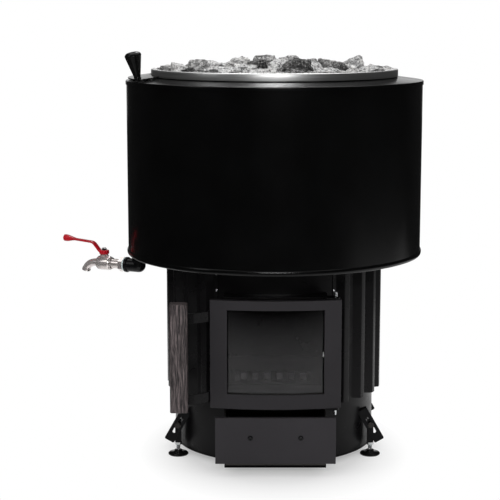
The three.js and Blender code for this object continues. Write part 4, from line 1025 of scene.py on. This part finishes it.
def buildDrawerFront():
    w = drawer["half"]
    us = spread(-w, w, 3)
    vs = [(drawer["low"], 0), (drawer["high"], 0), (drawer["high"], drawer["lip"])]
    at = lambda x, v: (x, drawer["face"] + v[1], v[0])
    front = gridSheet("drawer_skin", us, vs, at)
    thicken(front, drawer["sheet"])
    bevelEdges(front, 0.9, 3, 50)
    dress(settle(front), frontPaint, "ash_drawer", "charcoal_paint", "drawer_front")
    for side, name, node in ((-1, "drawer_screw_left", "drawer_bolt_left"),
                             (1, "drawer_screw_right", "drawer_bolt_right")):
        place = placed(side * drawer["boltX"], drawer["face"], drawer["boltZ"], 90, "X")
        head = [(0, 0.9), (2.1, 0.9), (2.3, 2.1), (3.0, 2.3), (4.2, 1.8), (4.9, 0.9), (5.1, 0.2), (5.1, 0),
                (0, 0)]
        dress(turned(name, head, steps=36, place=place), fitting, "ash_drawer", "black_fitting", node)


# legs and levelling feet
leg = dict(footX=196.25, footY=98.05, plane=107, sheet=5, width=21.5, long=74, corner=3, lean=29.5, middle=64.75,
           slotWide=7, slotLong=38, webLow=76.3, webHigh=97, boltHead=5.8, boltHigh=4, washer=6.4)
foot = dict(pad=20.5, padHigh=5, hub=8.5, hubHigh=10, thread=4, pitch=1.25, top=52, nut=7.5, nutLow=20.6,
            nutHigh=26.6)


def hexProfile(radius, low, high, chamfer=0.9, bore=0.0):
    return [(bore, low), (radius - chamfer, low), (radius, low + chamfer * 0.6), (radius, high - chamfer * 0.6),
            (radius - chamfer, high), (bore, high)]


def buildLeg(sx, sy, name):
    mirror = Matrix.Diagonal((sx, sy, 1, 1))
    lean = math.radians(leg["lean"])

    # the plate's own width and length, leaned inwards at the top
    def plateSpot(point, depth=0.0):
        a, b = point
        x = leg["footX"] + a * math.cos(lean) - b * math.sin(lean)
        return Vector((sx * x, sy * (leg["plane"] + depth), leg["middle"] + a * math.sin(lean) + b * math.cos(lean)))

    outer = roundedBox(leg["width"], leg["long"], leg["corner"], 6)
    slot = roundedBox(leg["slotWide"], leg["slotLong"], leg["slotWide"] / 2 - 0.01, 6)
    at = lambda k, loop: plateSpot(loop[k], leg["sheet"])
    strut = gridSheet("strut_" + name, list(range(len(outer))), [outer, slot], at, wrap=True, flip=sx * sy > 0)
    thicken(strut, leg["sheet"])
    bevelEdges(strut, 0.7, 2, 60)
    settle(strut)

    # web that carries the plate on the shell
    webX = leg["footX"] - leg["long"] / 2 * math.sin(lean) + leg["width"] / 2
    reach = shell["radius"] + 0.2
    yFar = leg["plane"] + 1
    yNear = math.sqrt(reach ** 2 - webX ** 2)
    outline = [(webX, yFar)] + [(math.sqrt(reach ** 2 - y * y), y) for y in spread(yFar, yNear, 8)]
    outline = [(sx * x, sy * y) for x, y in outline]
    web = prism("web", outline, leg["webLow"], leg["webHigh"])
    bevelEdges(web, 0.5, 2, 60)
    mergeInto(strut, settle(web))
    dress(strut, legPaint, "stove", "charcoal_paint", "leg_strut_" + name)

    boltPlace = placed(sx * leg["footX"], sy * (leg["plane"] + leg["sheet"]), leg["middle"], -90 * sy, "X")
    head = turned("bolt_" + name, hexProfile(leg["boltHead"], 1.4, leg["boltHigh"]), steps=6, place=boltPlace, sharp=20)
    r = leg["washer"]
    washer = turned("washer", [(0, 0), (r - 0.4, 0), (r, 0.4), (r, 1.0), (r - 0.4, 1.4), (0, 1.4)], steps=40,
                    place=boltPlace)
    mergeInto(head, washer)
    dress(head, iron, "stove", "raw_iron", "leg_bolt_" + name)

    body = "foot_" + name
    stand = placed(sx * leg["footX"], sy * leg["footY"], 0)
    pad = [(0, 0), (foot["pad"] - 1.2, 0), (foot["pad"], 1.2), (foot["pad"], 3), (foot["pad"] - 1.4, 4.6),
           (foot["pad"] - 3, foot["padHigh"]), (foot["hub"] + 2, foot["padHigh"] + 0.5), (foot["hub"] + 0.6, 6.4),
           (foot["hub"], 8), (foot["hub"] - 0.4, 9.5), (foot["hub"] - 1.2, foot["hubHigh"]), (0, foot["hubHigh"])]
    dress(turned("pad_" + name, pad, steps=72, place=stand), knobBlack, body, "black_plastic",
          "levelling_foot_" + name)

    # rolled thread: the radius follows the helix
    pitch = foot["pitch"]
    turns = spread(0, 2 * math.pi * 23 / 24, 24)
    heights = spread(foot["hubHigh"] - 2, foot["top"], int((foot["top"] - foot["hubHigh"] + 2) / pitch * 5))

    def threadAt(angle, z):
        phase = (z / pitch - angle / (2 * math.pi)) % 1
        r = foot["thread"] - 0.62 * abs(2 * phase - 1)
        return (r * math.cos(angle), r * math.sin(angle), z)

    rod = gridSheet("rod_" + name, turns, heights, threadAt, wrap=True, place=stand, sharp=75)
    bm = bmesh.new()
    bm.from_mesh(rod.data)
    bmesh.ops.holes_fill(bm, edges=[e for e in bm.edges if e.is_boundary], sides=0)
    bm.to_mesh(rod.data)
    bm.free()
    dress(rod, zinc, body, "bright_zinc")
    nut = turned("nut_" + name, hexProfile(foot["nut"], foot["nutLow"], foot["nutHigh"], 0.9, foot["thread"] - 0.5),
                 steps=6, place=stand, sharp=20)
    dress(nut, zinc, body, "bright_zinc")


buildDrawerFront()
for sx in (-1, 1):
    for sy in (-1, 1):
        buildLeg(sx, sy, ("front_" if sy < 0 else "rear_") + ("left" if sx < 0 else "right"))
print("drawer and legs built")


# tap: X runs out of the tank along the pipe
tap = dict(x=-280, y=0, z=375, turn=155, elbow=14, elbowTop=43.6, elbowReach=31, beadReach=16, beadLong=6,
           nut=15.5, nutEnd=44.4, barrel=10, collar=12.5, chamber=14.5, chamberLow=67.4, chamberHigh=98.4,
           stem=82.9, bonnet=8.5, bonnetTop=18.6, spout=8, spoutBore=6, spoutReach=29.3, spoutDrop=19, hub=10.4,
           hubLow=19, hubHigh=27)
tapFrame = placed(tap["x"], tap["y"], tap["z"], tap["turn"])
alongPipe = tapFrame @ Matrix.Rotation(math.pi / 2, 4, "Y")


def buildTap():
    # elbow: the level pipe ends in a full round corner under the upright one
    r = tap["elbow"]
    corner = [(r * math.sin(a), -r * math.cos(a)) for a in spread(0, math.pi / 2, 12)]
    elbow = turned("tap_elbow", corner + [(r, tap["elbowReach"] - 4), (0, tap["elbowReach"] - 4)], steps=48,
                   place=alongPipe)
    riser = turned("riser", [(0, 0), (r, 0), (r, tap["elbowTop"] - 1), (r - 1, tap["elbowTop"]), (0, tap["elbowTop"])],
                   steps=48, place=tapFrame)
    e, b = tap["elbowReach"], tap["beadReach"]
    bead = [(0, e - 8), (13.8, e - 8), (b - 0.9, e - 6.6), (b, e - 5.4), (b, e - 1), (b - 1, e), (0, e)]
    nipple = [(0, tap["elbowTop"] - 3), (10, tap["elbowTop"] - 3), (10, 52.4), (9.4, 53), (0, 53)]
    mergeInto(elbow, riser, turned("bead", bead, steps=48, place=alongPipe),
              turned("nipple", nipple, steps=40, place=tapFrame))
    dress(elbow, fitting, "stove", "black_fitting", "tank_elbow")

    seal = turned("tap_washer", roundCorners([(11, 31.2, 0.3), (15, 31.2, 0.7), (15, 33.4, 0.7), (11, 33.4, 0.3)],
                                             steps=3), steps=48, place=alongPipe)
    dress(seal, washerPale, "stove", "black_fitting")
    nut = turned("tap_nut", hexProfile(tap["nut"], 33.6, tap["nutEnd"], 1.6, 10.4), steps=6, place=alongPipe,
                 sharp=20)
    dress(nut, nickel, "stove", "nickel", "union_nut")

    # cast body turned from one profile, then the bonnet and the spout
    r, c, low, high = tap["barrel"], tap["chamber"], tap["chamberLow"], tap["chamberHigh"]
    profile = [(0, 31.6), (r - 0.6, 31.6), (r, 32.4), (r, low - 5), (r + 1, low - 4.2), (tap["collar"] - 0.6, low - 3.8),
               (tap["collar"], low - 3), (tap["collar"], low - 1), (c - 1.2, low - 0.2), (c - 0.2, low + 1),
               (c, low + 2.6), (c, high - 5.4), (c - 0.5, high - 3), (c - 2.2, high - 1), (c - 4.6, high - 0.1),
               (0, high)]
    body = turned("tap_casting", profile, steps=56, place=alongPipe)
    neck = [(0, 8), (tap["bonnet"] + 1.6, 8), (tap["bonnet"] + 1.6, 14.6), (tap["bonnet"] + 0.8, 15.4),
            (tap["bonnet"], 15.6), (tap["bonnet"], 18), (tap["bonnet"] - 0.6, tap["bonnetTop"]), (3.8, 18.6), (3.8, 15),
            (0, 15)]
    bonnet = turned("bonnet", neck, steps=40, place=placed(tap["stem"], 0, 0, base=tapFrame))
    # spout bends over and ends in a thick open lip
    far = tap["chamberHigh"] + tap["spoutReach"]
    start, knee, end = Vector((tap["chamberHigh"] - 2, 0)), Vector((far - 4, 0)), Vector((far, -tap["spoutDrop"]))
    curve = [start * (1 - t) ** 2 + knee * 2 * t * (1 - t) + end * t * t for t in spread(0, 1, 18)]
    count = len(curve)
    path = curve + curve[::-1][:count - 2]
    o, i = tap["spout"], tap["spoutBore"]

    def spoutSection(k, angle):
        if k < count:
            r = o + (0.9 if k > count - 4 else 0)
        else:
            r = i
        return (r * math.cos(angle), r * math.sin(angle))

    points = [Vector((p.x, 0, p.y)) for p in path]

    def spoutAt(angle, k):
        j = k if k < count else 2 * count - 1 - k
        ahead = (points[min(j + 1, count - 1)] - points[max(j - 1, 0)]).normalized()
        side, rise = spoutSection(k, angle)
        return points[j] + Vector((0, 1, 0)) * side + ahead.cross(Vector((0, 1, 0))) * rise

    turns = spread(0, 2 * math.pi * 35 / 36, 36)
    pipe = gridSheet("spout", turns, list(range(len(path))), spoutAt, wrap=True, place=tapFrame)
    mergeInto(body, bonnet, pipe)
    dress(body, nickel, "stove", "nickel", "tap_body")


lever = dict(line=((0, 23, 0), (9, 23, 7), (25.6, 42, 14), (92.6, 47, 0), (99.4, 47.2, 0)), half=6, thick=2.2,
             swellFrom=67, swellTo=92, bulb=7.2, tip=99.4, endRound=5)


def buildLever():
    stemFrame = placed(tap["stem"], 0, 0, base=tapFrame)
    corners = roundCorners(lever["line"], closed=False, steps=8)
    path = []
    for first, last in zip(corners, corners[1:]):
        gap = math.hypot(last[0] - first[0], last[1] - first[1])
        path += [tuple(Vector(first).lerp(Vector(last), t)) for t in spread(0, 1, max(2, int(gap / 2.2)))[:-1]]
    path.append(corners[-1])

    # a flat bar that swells into a round grip
    def section(k, angle):
        x = path[k][0]
        share = min(max((x - lever["swellFrom"]) / (lever["swellTo"] - lever["swellFrom"]), 0), 1)
        share = share * share * (3 - 2 * share)
        half = lever["half"] + (lever["bulb"] - lever["half"]) * share
        thick = lever["thick"] + (lever["bulb"] - lever["thick"]) * share
        left = lever["tip"] - x
        if left < lever["endRound"]:
            cap = 1 - lever["endRound"] / lever["bulb"] * (1 - math.sqrt(max(1 - (1 - left / lever["endRound"]) ** 2, 0)))
            half, thick = half * cap, thick * cap
        power = 0.55 + 0.45 * share
        c, s = math.cos(angle), math.sin(angle)
        return (half * math.copysign(abs(c) ** power, c), thick * math.copysign(abs(s) ** power, s))

    arm = swept("tap_arm", path, section, steps=32, place=stemFrame)
    h = tap["hub"]
    hub = turned("hub", roundCorners([(3.9, tap["hubLow"], 0.2), (h, tap["hubLow"], 1.2), (h, tap["hubHigh"], 1.8),
                                      (3.9, tap["hubHigh"], 0.2)], steps=4), steps=48, place=stemFrame)
    mergeInto(arm, hub)
    dress(arm, redCoat, "tap_handle", "red_coat", "tap_lever")
    nut = turned("tap_arm_nut", hexProfile(6, 27.4, 31.4, 0.8, 3.7), steps=6, place=stemFrame, sharp=20)
    dress(nut, zinc, "tap_handle", "bright_zinc", "lever_nut")


buildTap()
buildLever()
print("tap built")


# CAD pieces that stay as they are: rounded edges and a finish of their own
keptNodes = {
    "firebox_crown": sootyIron, "hearth_plate": sootyIron, "grate": ashyIron, "tank_bearer": iron, "glass_retainer": iron,
    "door_frame": shadedShellPaint, "catch_keeper": zinc, "door_catch": zinc, "drawer_tray": iron,
    "drawer_guide_left": iron, "drawer_guide_right": iron, "tank_floor": enamel, "tank_inner_wall": wellSteel,
    "glass_gasket": rope, "lid_hinge_pin": zinc, "tap_ball": nickel, "tap_stem": nickel,
    "foot_carrier_front_left": legPaint, "foot_carrier_front_right": legPaint,
    "foot_carrier_rear_left": legPaint, "foot_carrier_rear_right": legPaint,
}


def keepNode(name, material):
    piece = bpy.data.objects[name]
    piece.data.materials.clear()
    piece.data.materials.append(material)
    weld = piece.modifiers.new("weld", "WELD")
    weld.merge_threshold = sheetWeld * mm
    bevelEdges(piece, 0.4, 2, 45)


for name, material in keptNodes.items():
    keepNode(name, material)
print("kept nodes dressed")


# stage: pale floor, white surround, soft lamps
stage = dict(floorReach=9.0, shadowShift=(0, 0.05, 0), shadowStretch=(1.15, 0.9, 1), shadowNear=0.2, shadowFar=0.32,
             shadowKeep=0.64, frontNear=0.3, frontFar=1.75, leftNear=0.35, leftFar=0.9,
             rightNear=1.8, rightFar=3.0, backNear=0.5, backFar=1.4)


def buildFloor():
    mesh = bpy.data.meshes.new("studio_floor")
    r = stage["floorReach"]
    mesh.from_pydata([(-r, -r, 0), (r, -r, 0), (r, r, 0), (-r, r, 0)], [], [(0, 1, 2, 3)])
    floor = bpy.data.objects.new("studio_floor", mesh)
    bpy.context.scene.collection.objects.link(floor)
    floor.matrix_world = stoveFrame
    material, tree, shader = newMaterial("studio floor", {"Specular IOR Level": 0.0, "Roughness": 0.9})
    point = addNode(tree, "TexCoord").outputs["Object"]
    tone = rampOf(tree, noiseOf(tree, point, 3, 3), (0.3, shade(0.93)), (0.7, shade(0.95)))
    tree.links.new(tone, shader.inputs["Base Color"])
    rays = addNode(tree, "LightPath").outputs
    white = addNode(tree, "Emission", {"Color": shade(1), "Strength": 1.0}).outputs[0]
    dim = addNode(tree, "Emission", {"Color": shade(1), "Strength": 0.015}).outputs[0]
    under = addNode(tree, "VectorMath", {0: point, 1: stage["shadowShift"]}, operation="ADD").outputs[0]
    under = addNode(tree, "VectorMath", {0: under, 1: stage["shadowStretch"]}, operation="MULTIPLY").outputs[0]
    under = addNode(tree, "VectorMath", {0: under}, operation="LENGTH").outputs["Value"]
    nearShadow = mapTo(tree, under, 1 - stage["shadowKeep"], 1, stage["shadowNear"], stage["shadowFar"])
    seen = addNode(tree, "MixShader", {0: mathOf(tree, "MULTIPLY", nearShadow, rays["Is Camera Ray"]),
                                       1: shader.outputs[0], 2: white}).outputs[0]
    # for reflections the floor turns into a dim glow in front, behind, close by on the left and far off on the right:
    # painted shade on the floor as mirrors see it
    parts = addNode(tree, "SeparateXYZ", {"Vector": point}).outputs
    fades = [(parts["Y"], -stage["frontNear"], -stage["frontFar"]), (parts["Y"], stage["backNear"], stage["backFar"]),
             (parts["X"], -stage["leftNear"], -stage["leftFar"]), (parts["X"], stage["rightNear"], stage["rightFar"])]
    most = 0.0
    for along, near, far in fades:
        most = mathOf(tree, "MAXIMUM", most, mapTo(tree, along, 0, 1, near, far))
    fallen = mathOf(tree, "MULTIPLY", most, rays["Is Glossy Ray"])
    full = addNode(tree, "MixShader", {0: fallen, 1: seen, 2: dim}).outputs[0]
    tree.links.new(full, tree.nodes["Material Output"].inputs["Surface"])
    mesh.materials.append(material)


def buildWorld():
    world = bpy.data.worlds.new("studio")
    bpy.context.scene.world = world
    world.use_nodes = True
    tree = world.node_tree
    rays = addNode(tree, "LightPath").outputs
    way = addNode(tree, "TexCoord").outputs["Generated"]
    parts = addNode(tree, "SeparateXYZ", {"Vector": way}).outputs
    # reflections see the white backdrop behind and a dim room in front
    behind = mapTo(tree, parts["Y"], 0.02, 1, 0.95, 0.995)
    ambient = addNode(tree, "Background", {"Color": shade(1), "Strength": 0.52}).outputs[0]
    room = addNode(tree, "Background", {"Color": shade(1), "Strength": behind}).outputs[0]
    white = addNode(tree, "Background", {"Color": shade(1), "Strength": 1.0}).outputs[0]
    mirrored = addNode(tree, "MixShader", {0: rays["Is Glossy Ray"], 1: ambient, 2: room}).outputs[0]
    clear = mathOf(tree, "MAXIMUM", rays["Is Camera Ray"], rays["Is Transmission Ray"])
    full = addNode(tree, "MixShader", {0: clear, 1: mirrored, 2: white}).outputs[0]
    tree.links.new(full, tree.nodes["World Output"].inputs["Surface"])


# spots are in metres about the drum's axis
def softLamp(name, spot, target, width, height, watts, mirrored=True):
    data = bpy.data.lights.new(name, "AREA")
    data.shape = "RECTANGLE"
    data.size = width
    data.size_y = height
    data.energy = watts
    lamp = bpy.data.objects.new(name, data)
    bpy.context.scene.collection.objects.link(lamp)
    lamp.location = stoveFrame.translation + Vector(spot)
    lamp.rotation_euler = (Vector(target) - Vector(spot)).to_track_quat("-Z", "Y").to_euler()
    lamp.visible_glossy = mirrored


def buildCamera():
    data = bpy.data.cameras.new("camera")
    data.lens = 103.72
    data.sensor_width = 36
    camera = bpy.data.objects.new("camera", data)
    bpy.context.scene.collection.objects.link(camera)
    camera.matrix_world = placed(-49.5, -2944.3, 897.9, 90 - 9.454, "X")
    bpy.context.scene.camera = camera


buildFloor()
buildWorld()
softLamp("key_front", (0, -3.1, 1.65), (0, 0, 0.45), 1.3, 0.5, 32)
softLamp("tap_light", (-2.1, -1.2, 1.85), (-0.38, 0, 0.43), 0.65, 1.3, 4.5)
softLamp("fill_left", (-2.3, -1.5, 1.1), (0, 0, 0.4), 0.8, 1.4, 7, False)
softLamp("fill_right", (2.3, -1.5, 1.1), (0, 0, 0.4), 0.8, 1.4, 10, False)
softLamp("top", (0, 0.3, 2.5), (0, 0, 0.6), 2.6, 2.2, 29)
softLamp("back", (0, 1.9, 2.75), (0, -0.28, 0.76), 0.6, 0.5, 18)
buildCamera()
bpy.context.scene.view_settings.view_transform = "Standard"
print("stage set")
